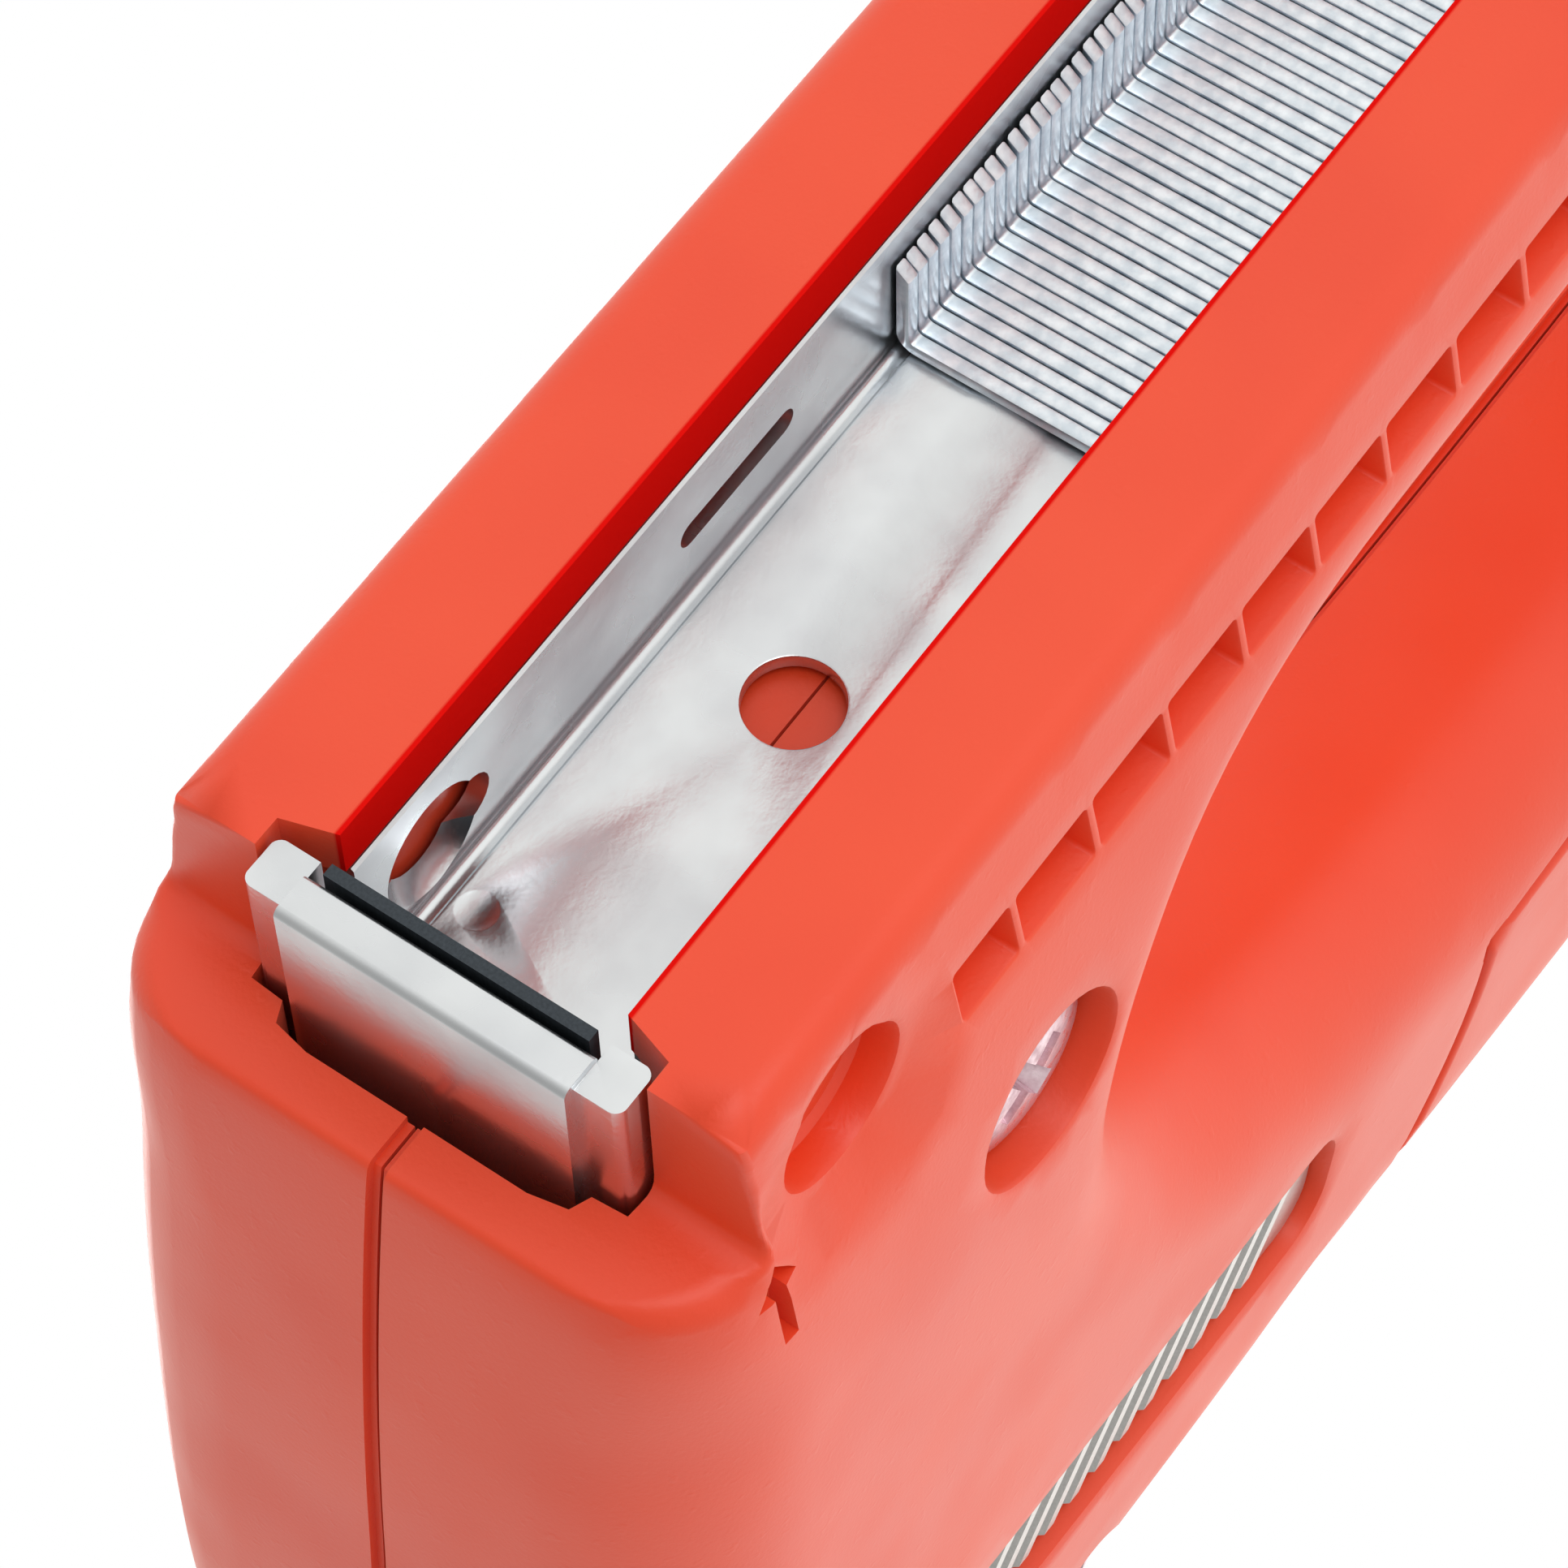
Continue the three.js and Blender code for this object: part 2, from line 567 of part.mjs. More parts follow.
// the folded steel channel that guides the staples
function magazineChannel() {
  const shape = polygon([
    [-channelOuter, CHANNEL_EDGE_Z],
    [-channelInner, CHANNEL_EDGE_Z],
    [-channelInner, CHANNEL_WEB_Z],
    [channelInner, CHANNEL_WEB_Z],
    [channelInner, CHANNEL_EDGE_Z],
    [channelOuter, CHANNEL_EDGE_Z],
    [channelOuter, channelTop],
    [-channelOuter, channelTop],
  ]);
  const folded = solid(alongX(shape, CHANNEL_REAR_X, CHANNEL_FRONT_X));
  const ovalSlot = roundedRectangle(-8.6, 5.2, -3.3, 7.6, 1.2);
  const longSlot = roundedRectangle(-26.6, 5.4, -19.8, 6.6, 0.6);
  return folded
    .subtract(barZ(WEB_HOLE_X, 0, WEB_HOLE_RADIUS, CHANNEL_EDGE_Z, channelTop + 1, 32))
    .subtract(solid(alongY(ovalSlot, -9, 9)))
    .subtract(solid(alongY(longSlot, -9, 9)));
}

// the hemmed plate that closes the front of the blade slot, with an ear at each end
function nosePlate() {
  const back = BLADE_THICKNESS / 2 + FIT_GAP;
  const front = back + NOSE_PLATE_THICKNESS;
  const outer = NOSE_EAR_HALF_WIDTH;
  const inner = bladeHalfWidth + FIT_GAP;
  const low = 0.4;
  const high = MOUTH_TOP_Z - 0.5;
  const ears = block(-0.25, front - 0.5, -outer, outer, low, high)
    .subtract(block(-1, back, -inner, inner, -1, high + 1));
  return block(back, front, -NOSE_PLATE_HALF_WIDTH, NOSE_PLATE_HALF_WIDTH, 0, MOUTH_TOP_Z - 0.2).add(ears);
}

// the plate behind the blade, above the channel
function driverGuide() {
  const half = channelOuter - 0.2;
  return block(-2, -BLADE_THICKNESS / 2 - FIT_GAP, -half, half, channelTop + 0.4, MOUTH_TOP_Z - 0.4);
}

// the rubber block that stops the driver
function impactBumper() {
  const half = CAVITY_HALF_WIDTH - 0.6;
  const ring = block(-9, 5.8, -half, half, MOUTH_TOP_Z + FIT_GAP, SPRING_BOTTOM_Z - 2.6);
  const slotHalf = bladeHalfWidth + 0.35;
  const slotDepth = BLADE_THICKNESS / 2 + 0.35;
  return ring.subtract(block(-slotDepth, slotDepth, -slotHalf, slotHalf, 20, 40));
}

// the cup that holds the top of the power spring
function springCap() {
  const plate = block(-7.2, 4.6, -8, 8, SPRING_TOP_Z + FIT_GAP, CAVITY_TOP_Z - FIT_GAP);
  return plate.add(barZ(0, 0, 3.6, SPRING_TOP_Z - 2.5, SPRING_TOP_Z + 1));
}

function powerSpring() {
  const length = SPRING_TOP_Z - SPRING_BOTTOM_Z;
  return coil(SPRING_RADIUS, SPRING_WIRE_RADIUS, length, 7.5, 12, 6).translate(0, 0, SPRING_BOTTOM_Z);
}

// one cross-head screw, drawn at the origin with its axis along Y
function screw(scale, seat) {
  const under = seat - FIT_GAP;
  const top = under - SCREW_HEAD_HEIGHT;
  const head = barY(0, 0, SCREW_HEAD_RADIUS * scale, top, under);
  const shank = barY(0, 0, SCREW_SHANK_RADIUS * scale, under - 0.5, SCREW_END_Y, 16);
  const arm = 1.7 * scale;
  const half = 0.4;
  const depth = 1.1;
  const slots = block(-arm, arm, top - 1, top + depth, -half, half)
    .add(block(-half, half, top - 1, top + depth, -arm, arm));
  return head.add(shank).subtract(slots);
}

function badge(side) {
  const shape = badgeOutline(FIT_GAP);
  const inner = BODY_HALF_WIDTH - BADGE.depth + FIT_GAP;
  const outer = inner + BADGE.thickness;
  return side < 0 ? alongY(shape, -outer, -inner) : alongY(shape, inner, outer);
}

// --------------------------------------------------------------------- driver

function driverBlade() {
  const half = BLADE_THICKNESS / 2;
  const wide = bladeHalfWidth - BLADE_SIDE_PLAY;
  return block(-half, half, -wide, wide, 0, SPRING_BOTTOM_Z - 2.6);
}

// the bent steel carrier: a seat for the spring and a back plate for the handle to lift
function driverCarrier() {
  const seatBottom = SPRING_BOTTOM_Z - FIT_GAP - 2;
  const seat = block(-9, 6.2, -6.8, 6.8, seatBottom, SPRING_BOTTOM_Z - FIT_GAP);
  const boss = barZ(0, 0, 3.6, seatBottom, SPRING_BOTTOM_Z + 2.4);
  const clawTop = PIVOT_Z - 4;
  const back = block(-9, -7.6, -4.2, 4.2, seatBottom, clawTop);
  const claw = block(-9.4, -8.5, -4.2, 4.2, clawTop - 2, clawTop);
  return seat.add(boss).add(back).add(claw);
}

// --------------------------------------------------------------------- handle

// the steel core: two cheeks past the pivot, joined by a web along the top
function handleCore() {
  const tip = solid(alongY(link(LIFT_X, LIFT_Z, 3, PIVOT_X, PIVOT_Z, 5.2), -CORE_HALF_WIDTH, CORE_HALF_WIDTH));
  const kneeShape = link(PIVOT_X, PIVOT_Z, 5.2, CORE_KNEE.x, CORE_KNEE.z, 4.2);
  const knee = solid(alongY(kneeShape, -CORE_HALF_WIDTH, CORE_HALF_WIDTH));
  const barShape = link(CORE_KNEE.x, CORE_KNEE.z, 4.2, CORE_END.x, CORE_END.z, 3.8);
  const bar = solid(alongY(barShape, -CORE_HALF_WIDTH, CORE_HALF_WIDTH));
  const inner = CORE_HALF_WIDTH - CORE_WALL;
  const between = solid(alongY(polygon([
    [LIFT_X + 5, PIVOT_Z - 11],
    [LIFT_X + 5, PIVOT_Z + 13],
    [CORE_KNEE.x - 2, PIVOT_Z + 13],
    [CORE_KNEE.x - 2, CORE_KNEE.z + 4.2 - CORE_WALL],
    [CORE_END.x - 5, CORE_END.z + 3.8 - CORE_WALL],
    [CORE_END.x - 5, PIVOT_Z - 11],
  ]), -inner, inner));
  let core = tip.add(knee).add(bar).subtract(between);
  core = core.subtract(barY(PIVOT_X, PIVOT_Z, PIVOT_PIN_RADIUS + FIT_GAP, -9, 9));
  core = core.subtract(barY(LIFT_X, LIFT_Z, LIFT_PIN_RADIUS + FIT_GAP, -9, 9, 16));
  for (const [x, z] of Object.values(HANDLE_PINS)) {
    core = core.subtract(barY(x, z, HANDLE_PIN_RADIUS + FIT_GAP, -9, 9, 16));
  }
  return core;
}

// the moulded cover over the core
function handleCover() {
  const hoodAngle = THREE.MathUtils.degToRad(108);
  const reach = 40;
  const ahead = polygon([
    [PIVOT_X, PIVOT_Z],
    [PIVOT_X + reach * Math.cos(hoodAngle), PIVOT_Z + reach * Math.sin(hoodAngle)],
    [PIVOT_X + 30, PIVOT_Z + reach],
    [PIVOT_X + 30, PIVOT_Z],
  ]);
  const hollow = polygon([
    [PIVOT_X - 18.5, PIVOT_Z - 9],
    [PIVOT_X - 18.5, HANDLE_TOP_Z - 9],
    [PIVOT_X - 36, HANDLE_TOP_Z - 5.9],
    [PIVOT_X - 56, HANDLE_TOP_Z - 3.6],
    [TAIL_X + 18, HANDLE_TOP_Z - 5],
    [TAIL_X + 5, HANDLE_TOP_Z - 10.5],
    [TAIL_X + 3, PIVOT_Z - 9],
  ]);
  const slotHalf = CORE_HALF_WIDTH + 0.5;
  const slotTop = PIVOT_Z + 12.3;
  const coreSlot = block(CORE_KNEE.x - 1, PIVOT_X - 10, -slotHalf, slotHalf, PIVOT_Z - 9, slotTop);
  let cover = gunBlank()
    .intersect(handleRegion(0.9))
    .subtract(solid(alongY(ahead, -20, 20)))
    .subtract(solid(alongY(hollow, -9.5, 9.5)))
    .subtract(coreSlot);
  for (const [x, z] of Object.values(HANDLE_PINS)) {
    cover = cover.subtract(barY(x, z, HANDLE_PIN_RADIUS + FIT_GAP, -11.3, 11.3, 16));
  }
  return cover;
}

// the return spring wound round the pivot pin, one leg under the web, one on the body
function handleSpring() {
  const points = [];
  const radius = 3.4;
  const turns = 4;
  const stepsPerTurn = 10;
  const half = 3.2;
  points.push(new THREE.Vector3(PIVOT_X - 11, -half, PIVOT_Z + 1.4));
  points.push(new THREE.Vector3(PIVOT_X - 6.5, -half, PIVOT_Z - 1.6));
  for (let i = 0; i <= turns * stepsPerTurn; i += 1) {
    const angle = 1.5 * Math.PI + (2 * Math.PI * i) / stepsPerTurn;
    const y = -half + (2 * half * i) / (turns * stepsPerTurn);
    points.push(new THREE.Vector3(PIVOT_X + radius * Math.cos(angle), y, PIVOT_Z + radius * Math.sin(angle)));
  }
  points.push(new THREE.Vector3(PIVOT_X - 6, half, PIVOT_Z - 3.3));
  points.push(new THREE.Vector3(PIVOT_X - 10, half, PIVOT_Z - 2.9));
  return wire(new THREE.CatmullRomCurve3(points), 0.5, 66, 6);
}

// ------------------------------------------------------------------ lock wire

// a bail pivoted in the rear column; it hangs behind the body at rest
function lockWire() {
  const angle = THREE.MathUtils.degToRad(WIRE_REST_DEG);
  const side = TAIL_HALF_WIDTH + FIT_GAP + WIRE_RADIUS;
  const bend = 2;
  const point = (distance, y) => new THREE.Vector3(
    WIRE_PIVOT_X + distance * Math.cos(angle),
    y,
    WIRE_PIVOT_Z + distance * Math.sin(angle),
  );
  const half = [
    point(0, -10.1),
    point(0, -side + 0.9),
    point(0.9, -side),
    point(6, -side),
    point(12, -side),
    point(WIRE_LENGTH - bend, -side),
    point(WIRE_LENGTH, -side + bend),
    point(WIRE_LENGTH, -6),
  ];
  const mirrored = half.map((p) => new THREE.Vector3(p.x, -p.y, p.z)).reverse();
  const curve = new THREE.CatmullRomCurve3([...half, point(WIRE_LENGTH, 0), ...mirrored], false, 'centripetal');
  return wire(curve, WIRE_RADIUS, 50, 8);
}

// ------------------------------------------------------------------- magazine
// The tray is drawn where it sits when closed, then moved back by TRAY_TRAVEL.

function trayRail() {
  const half = RAIL_HALF_WIDTH;
  const inner = half - RAIL_WALL;
  const shape = polygon([
    [-half, RAIL_BOTTOM_Z],
    [half, RAIL_BOTTOM_Z],
    [half, RAIL_TOP_Z],
    [inner, RAIL_TOP_Z],
    [inner, RAIL_BOTTOM_Z + RAIL_WALL],
    [-inner, RAIL_BOTTOM_Z + RAIL_WALL],
    [-inner, RAIL_TOP_Z],
    [-half, RAIL_TOP_Z],
  ]);
  const stop = block(CAP_FRONT_CLOSED_X - 0.4, CAP_FRONT_CLOSED_X + 0.6, -half, half, RAIL_BOTTOM_Z, RAIL_TOP_Z);
  return solid(alongX(shape, RAIL_REAR_CLOSED_X, RAIL_FRONT_CLOSED_X))
    .add(stop)
    .subtract(barX(0, ROD_Z, ROD_RADIUS + FIT_GAP, CAP_FRONT_CLOSED_X - 2, CAP_FRONT_CLOSED_X + 2))
    .subtract(barZ(TRAY_PIN_X, 0, TRAY_PIN_RADIUS + FIT_GAP, 0, RAIL_TOP_Z, 16));
}

// the moulded end of the magazine, hollowed for the rail and the two buttons
function endCap() {
  const rear = CAP_FRONT_CLOSED_X - CAP_LENGTH;
  const section = roundedRectangle(-CAP_HALF_WIDTH, CAP_BOTTOM_Z, CAP_HALF_WIDTH, CAP_TOP_Z, 2.5);
  const railHalf = RAIL_HALF_WIDTH + FIT_GAP;
  const railSlot = block(
    RAIL_REAR_CLOSED_X - FIT_GAP,
    CAP_FRONT_CLOSED_X + 1,
    -railHalf,
    railHalf,
    RAIL_BOTTOM_Z - FIT_GAP,
    RAIL_TOP_Z + FIT_GAP,
  );
  const seat = LATCH_SPRING_SEAT - FIT_GAP;
  const low = LATCH_BOTTOM_Z - FIT_GAP;
  const high = LATCH_TOP_Z + FIT_GAP;
  const pocketRear = LATCH_PAD_REAR_X - FIT_GAP;
  const pocketFront = CAP_FRONT_CLOSED_X + 1;
  return solid(alongX(section, rear, CAP_FRONT_CLOSED_X))
    .subtract(railSlot)
    .subtract(block(pocketRear, pocketFront, -20, -seat, low, high))
    .subtract(block(pocketRear, pocketFront, seat, 20, low, high))
    .subtract(barZ(TRAY_PIN_X, 0, TRAY_PIN_RADIUS + FIT_GAP, 0, RAIL_BOTTOM_Z + 1, 16));
}

// the rivet through the rail's floor, up into the end cap
function trayRivet() {
  const head = barZ(TRAY_PIN_X, 0, 1.8, RAIL_BOTTOM_Z + RAIL_WALL + FIT_GAP, RAIL_BOTTOM_Z + RAIL_WALL + 1.3, 16);
  return head.add(barZ(TRAY_PIN_X, 0, TRAY_PIN_RADIUS, CAP_BOTTOM_Z + 0.2, RAIL_BOTTOM_Z + RAIL_WALL + 1, 16));
}

// the rod that keeps the pusher spring straight, with a head behind its stop
function guideRod() {
  const front = PUSHER_FRONT_X + TRAY_TRAVEL - 2.5;
  const rod = barX(0, ROD_Z, ROD_RADIUS, CAP_FRONT_CLOSED_X - 1.2, front, 12);
  return rod.add(barX(0, ROD_Z, 1.6, CAP_FRONT_CLOSED_X - 1.9, CAP_FRONT_CLOSED_X - 0.7, 16));
}

// a squeeze button with its hook, on one side of the end cap
function latchButton(side) {
  const low = LATCH_BOTTOM_Z + 1;
  const high = LATCH_TOP_Z - 1;
  const hookOuter = latchArmOuter + LATCH_HOOK;
  const pad = block(LATCH_PAD_REAR_X, LATCH_PAD_FRONT_X, LATCH_ARM_INNER, LATCH_PAD_OUTER, LATCH_BOTTOM_Z, LATCH_TOP_Z);
  const arm = block(LATCH_PAD_FRONT_X - 1, LATCH_FRONT_X, LATCH_ARM_INNER, latchArmOuter, low, high);
  const hook = block(LATCH_HOOK_REAR_X, LATCH_FRONT_X, LATCH_ARM_INNER, hookOuter, low, high);
  const button = pad.add(arm).add(hook);
  return side < 0 ? button.mirror([0, 1, 0]) : button;
}

function latchSpring(side) {
  const length = LATCH_ARM_INNER - FIT_GAP - LATCH_SPRING_SEAT;
  const geometry = coil(1.6, 0.15, length, 2.5, 8, 4);
  geometry.applyMatrix4(new THREE.Matrix4().makeBasis(Z, X, Y));
  geometry.translate(LATCH_SPRING_X, LATCH_SPRING_SEAT, latchMidZ);
  return side < 0 ? geometryOf(solid(geometry).mirror([0, 1, 0])) : geometry;
}

// the saddle that pushes the staples, riding on the rail
function pusher() {
  const rear = PUSHER_FRONT_X - PUSHER_LENGTH;
  const half = bladeHalfWidth - 0.25;
  const inner = RAIL_HALF_WIDTH + FIT_GAP + 0.05;
  const top = CHANNEL_WEB_Z - 0.4;
  const saddle = block(rear, PUSHER_FRONT_X, -half, half, 3.4, top)
    .subtract(block(rear - 1, PUSHER_FRONT_X + 1, -inner, inner, 0, RAIL_TOP_Z + FIT_GAP));
  const lugHalf = RAIL_HALF_WIDTH - RAIL_WALL - 0.5;
  const lug = block(PUSHER_FRONT_X - 7, PUSHER_FRONT_X - 4, -lugHalf, lugHalf, 3.2, top);
  return saddle.add(lug).subtract(barX(0, ROD_Z, ROD_RADIUS + FIT_GAP, rear, PUSHER_FRONT_X, 12));
}

function pusherSpring() {
  const front = PUSHER_FRONT_X - 7 - FIT_GAP;
  const rear = CAP_FRONT_CLOSED_X + 0.6 + FIT_GAP - TRAY_TRAVEL;
  const geometry = coil(1.85, 0.25, front - rear, 24, 7, 4);
  geometry.applyMatrix4(new THREE.Matrix4().makeBasis(Y, Z, X));
  return geometry.translate(rear, 0, ROD_Z);
}

// a stick of staples, crowns against the web and legs down
function stapleStrip() {
  const half = STAPLE_WIDTH / 2;
  const top = CHANNEL_WEB_Z - 0.2;
  const bottom = top - STAPLE_HEIGHT;
  const round = 0.7;
  const shape = new THREE.Shape();
  shape.moveTo(half - STAPLE_WIRE, bottom);
  shape.lineTo(half, bottom);
  shape.lineTo(half, top - round);
  shape.quadraticCurveTo(half, top, half - round, top);
  shape.lineTo(-half + round, top);
  shape.quadraticCurveTo(-half, top, -half, top - round);
  shape.lineTo(-half, bottom);
  shape.lineTo(-half + STAPLE_WIRE, bottom);
  shape.lineTo(-half + STAPLE_WIRE, top - STAPLE_WIRE);
  shape.lineTo(half - STAPLE_WIRE, top - STAPLE_WIRE);
  return alongX(shape, STRIP_FRONT_X - stripLength, STRIP_FRONT_X);
}

// ------------------------------------------------------------------- assembly

const finishes = {
  body: new THREE.MeshStandardMaterial({ color: ORANGE, roughness: 0.5 }),
  steel: new THREE.MeshStandardMaterial({ color: STEEL, roughness: 0.25, metalness: 1 }),
  dark: new THREE.MeshStandardMaterial({ color: DARK_STEEL, roughness: 0.45, metalness: 1 }),
  spring: new THREE.MeshStandardMaterial({ color: SPRING_STEEL, roughness: 0.35, metalness: 1 }),
  black: new THREE.MeshStandardMaterial({ color: BLACK_PLASTIC, roughness: 0.6 }),
};

function piece(parent, name, shape, finish) {
  const geometry = shape instanceof wasm.Manifold ? geometryOf(shape) : shape;
  const mesh = new THREE.Mesh(geometry, finishes[finish].clone());
  mesh.name = name;
  parent.add(mesh);
  return mesh;
}

const gun = new THREE.Group();

const halves = bodyHalves();
piece(gun, 'body_half_right', halves.right, 'body');
piece(gun, 'body_half_left', halves.left, 'body');
piece(gun, 'magazine_channel', magazineChannel(), 'steel');
piece(gun, 'nose_plate', nosePlate(), 'steel');
piece(gun, 'driver_guide', driverGuide(), 'steel');
piece(gun, 'impact_bumper', impactBumper(), 'black');
piece(gun, 'spring_cap', springCap(), 'steel');
piece(gun, 'power_spring', powerSpring(), 'spring');
piece(gun, 'handle_pivot_pin', barY(PIVOT_X, PIVOT_Z, PIVOT_PIN_RADIUS, -11, 11), 'steel');
piece(gun, 'badge_right', badge(-1), 'steel');
piece(gun, 'badge_left', badge(1), 'steel');
for (const [name, { x, z, scale, seat }] of Object.entries(SCREWS)) {
  piece(gun, name, screw(scale, seat), 'steel').position.set(x, 0, z);
}

piece(gun, 'driver_blade', driverBlade(), 'dark');
piece(gun, 'driver_carrier', driverCarrier(), 'steel');

piece(gun, 'handle_core', handleCore(), 'steel');
piece(gun, 'handle_cover', handleCover(), 'body');
piece(gun, 'handle_spring', handleSpring(), 'spring');
const liftPinHalf = CORE_HALF_WIDTH - 0.1;
piece(gun, 'lift_pin', barY(LIFT_X, LIFT_Z, LIFT_PIN_RADIUS, -liftPinHalf, liftPinHalf, 16), 'steel');
for (const [name, [x, z]] of Object.entries(HANDLE_PINS)) {
  piece(gun, name, barY(x, z, HANDLE_PIN_RADIUS, -11, 11, 16), 'steel');
}

piece(gun, 'lock_wire', lockWire(), 'spring');

piece(gun, 'staple_strip', stapleStrip(), 'steel');

const tray = new THREE.Group();
tray.position.x = -TRAY_TRAVEL;
gun.add(tray);
piece(tray, 'tray_rail', trayRail(), 'steel');
piece(tray, 'guide_rod', guideRod(), 'steel');
piece(tray, 'tray_end_cap', endCap(), 'body');
piece(tray, 'tray_rivet', trayRivet(), 'steel');
for (const [name, side] of [['right', -1], ['left', 1]]) {
  piece(tray, `latch_button_${name}`, latchButton(side), 'black');
  piece(tray, `latch_spring_${name}`, latchSpring(side), 'spring');
}
piece(gun, 'pusher', pusher(), 'steel');
piece(gun, 'pusher_spring', pusherSpring(), 'spring');

// stand the gun with its footprint centred on the origin
const box = new THREE.Box3().setFromObject(gun, true);
gun.position.x = -(box.min.x + box.max.x) / 2;

const stapler = new THREE.Group();
stapler.add(gun);

export default stapler;
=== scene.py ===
# %% [markdown]
# # A hand staple gun with its magazine pulled open
# The gun is a squeeze tacker: two orange moulded halves screwed together round a steel
# channel, a spring-driven blade and a lever under the handle. The magazine slides out at the
# rear, staples are dropped into the open channel from below, and the magazine is pushed in.
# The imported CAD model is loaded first. It fixes every size and every moving body. What follows
# gives each piece its true surface: rounded mouldings, folded sheet, drawn wire.

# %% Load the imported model
import math

import bmesh
import bpy
import numpy as np
from mathutils import Matrix, Vector, geometry


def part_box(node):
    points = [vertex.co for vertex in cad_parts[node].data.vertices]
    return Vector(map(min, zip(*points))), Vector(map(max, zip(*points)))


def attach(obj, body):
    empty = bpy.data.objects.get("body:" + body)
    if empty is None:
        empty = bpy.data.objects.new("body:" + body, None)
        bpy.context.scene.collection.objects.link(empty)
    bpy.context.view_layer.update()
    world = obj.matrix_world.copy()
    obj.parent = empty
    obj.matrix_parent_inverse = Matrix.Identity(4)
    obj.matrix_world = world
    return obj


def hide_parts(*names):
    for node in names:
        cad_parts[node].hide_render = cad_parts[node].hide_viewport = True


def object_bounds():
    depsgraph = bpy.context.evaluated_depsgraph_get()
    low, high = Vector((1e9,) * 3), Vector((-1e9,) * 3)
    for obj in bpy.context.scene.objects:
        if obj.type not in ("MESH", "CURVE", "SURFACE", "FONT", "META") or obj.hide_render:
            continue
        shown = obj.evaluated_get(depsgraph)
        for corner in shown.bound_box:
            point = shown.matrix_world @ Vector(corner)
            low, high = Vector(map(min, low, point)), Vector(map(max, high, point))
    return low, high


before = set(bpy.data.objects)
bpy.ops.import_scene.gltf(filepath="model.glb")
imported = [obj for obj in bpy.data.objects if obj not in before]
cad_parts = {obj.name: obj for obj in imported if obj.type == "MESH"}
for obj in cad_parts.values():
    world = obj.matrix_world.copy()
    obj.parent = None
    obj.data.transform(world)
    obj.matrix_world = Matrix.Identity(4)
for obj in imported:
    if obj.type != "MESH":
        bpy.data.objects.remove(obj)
cad_low, cad_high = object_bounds()
print("CAD box", [round(v * 1000, 1) for v in (*cad_low, *cad_high)])

# %% [markdown]
# The modelling is done in millimetres from the driver blade, which strikes at x = 0 on the
# gun's centre plane, because that is where a maker measures a stapler from. One matrix turns
# those numbers into metres in the row's frame.

# %% The blade as the datum
MM = 0.001
FIT = 0.3        # gap between pieces that touch or slide
blade_low, blade_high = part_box("driver_blade")
DATUM_X = (blade_low.x + blade_high.x) / 2
TO_FRAME = Matrix.Translation((DATUM_X, 0, 0)) @ Matrix.Scale(MM, 4)
SMOOTH_ANGLE = math.radians(38)


def from_frame(node):
    """A CAD node's lowest and highest corners, in millimetres from the blade."""
    low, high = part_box(node)
    back = TO_FRAME.inverted()
    return back @ low, back @ high


print("blade at x =", round(DATUM_X * 1000, 2), "mm")

# %% [markdown]
# ## Finishes
# Every finish starts from what the real piece is made of. Colours are written as sRGB hex,
# the way a paint chart gives them, and one function turns them into the linear light that the
# renderer works in. One more function adds a shader node with its settings and its links.

# %% Colour and node helpers


def linear(hex_colour):
    """An sRGB hex colour as linear RGBA."""
    channels = [int(hex_colour[i : i + 2], 16) / 255 for i in (1, 3, 5)]
    return [c / 12.92 if c <= 0.04045 else ((c + 0.055) / 1.055) ** 2.4 for c in channels] + [1.0]


def add(material, kind, settings=None, inputs=None):
    """Adds one node. A socket given as an input is linked, anything else is set."""
    node = material.node_tree.nodes.new(kind)
    for name, value in (settings or {}).items():
        setattr(node, name, value)
    for name, value in (inputs or {}).items():
        if isinstance(value, bpy.types.NodeSocket):
            material.node_tree.links.new(value, node.inputs[name])
        else:
            node.inputs[name].default_value = value
    return node


def finish_named(name, **shader):
    """A new material whose shader already has its plain values."""
    material = bpy.data.materials.new(name)
    material.use_nodes = True
    surface = material.node_tree.nodes["Principled BSDF"]
    for socket, value in shader.items():
        surface.inputs[socket.replace("_", " ")].default_value = value
    return material, surface


def grain(material, size_mm, detail=2.0, stretch=(1, 1, 1)):
    """Noise whose features are about size_mm across, fixed to the piece."""
    where = add(material, "ShaderNodeTexCoord").outputs["Object"]
    if stretch != (1, 1, 1):
        where = add(material, "ShaderNodeMapping", None, {"Vector": where, "Scale": stretch}).outputs[0]
    settings = {"Vector": where, "Scale": 1 / (size_mm * MM), "Detail": detail, "Roughness": 0.55}
    return add(material, "ShaderNodeTexNoise", None, settings).outputs["Fac"]


def remap(material, value, low, high, to_low, to_high):
    """Stretches a value from one range to another and holds it there."""
    inputs = {"Value": value, "From Min": low, "From Max": high, "To Min": to_low, "To Max": to_high}
    return add(material, "ShaderNodeMapRange", None, inputs).outputs[0]


def bump(material, height, depth_mm, normal=None):
    """Turns a height between 0 and 1 into relief of a real depth."""
    inputs = {"Height": height, "Distance": depth_mm * MM, "Strength": 1.0}
    if normal is not None:
        inputs["Normal"] = normal
    return add(material, "ShaderNodeBump", None, inputs).outputs[0]


def tint(material, amount, *colours):
    """A mix of two colours. Each is a hex colour or another node's output."""
    first, second = (linear(c) if isinstance(c, str) else c for c in colours)
    inputs = {0: amount, 6: first, 7: second}
    return add(material, "ShaderNodeMix", {"data_type": "RGBA"}, inputs).outputs[2]


def link(material, output, surface, socket):
    material.node_tree.links.new(output, surface.inputs[socket])


print("sRGB #808080 is", round(linear("#808080")[0], 3), "in linear light")


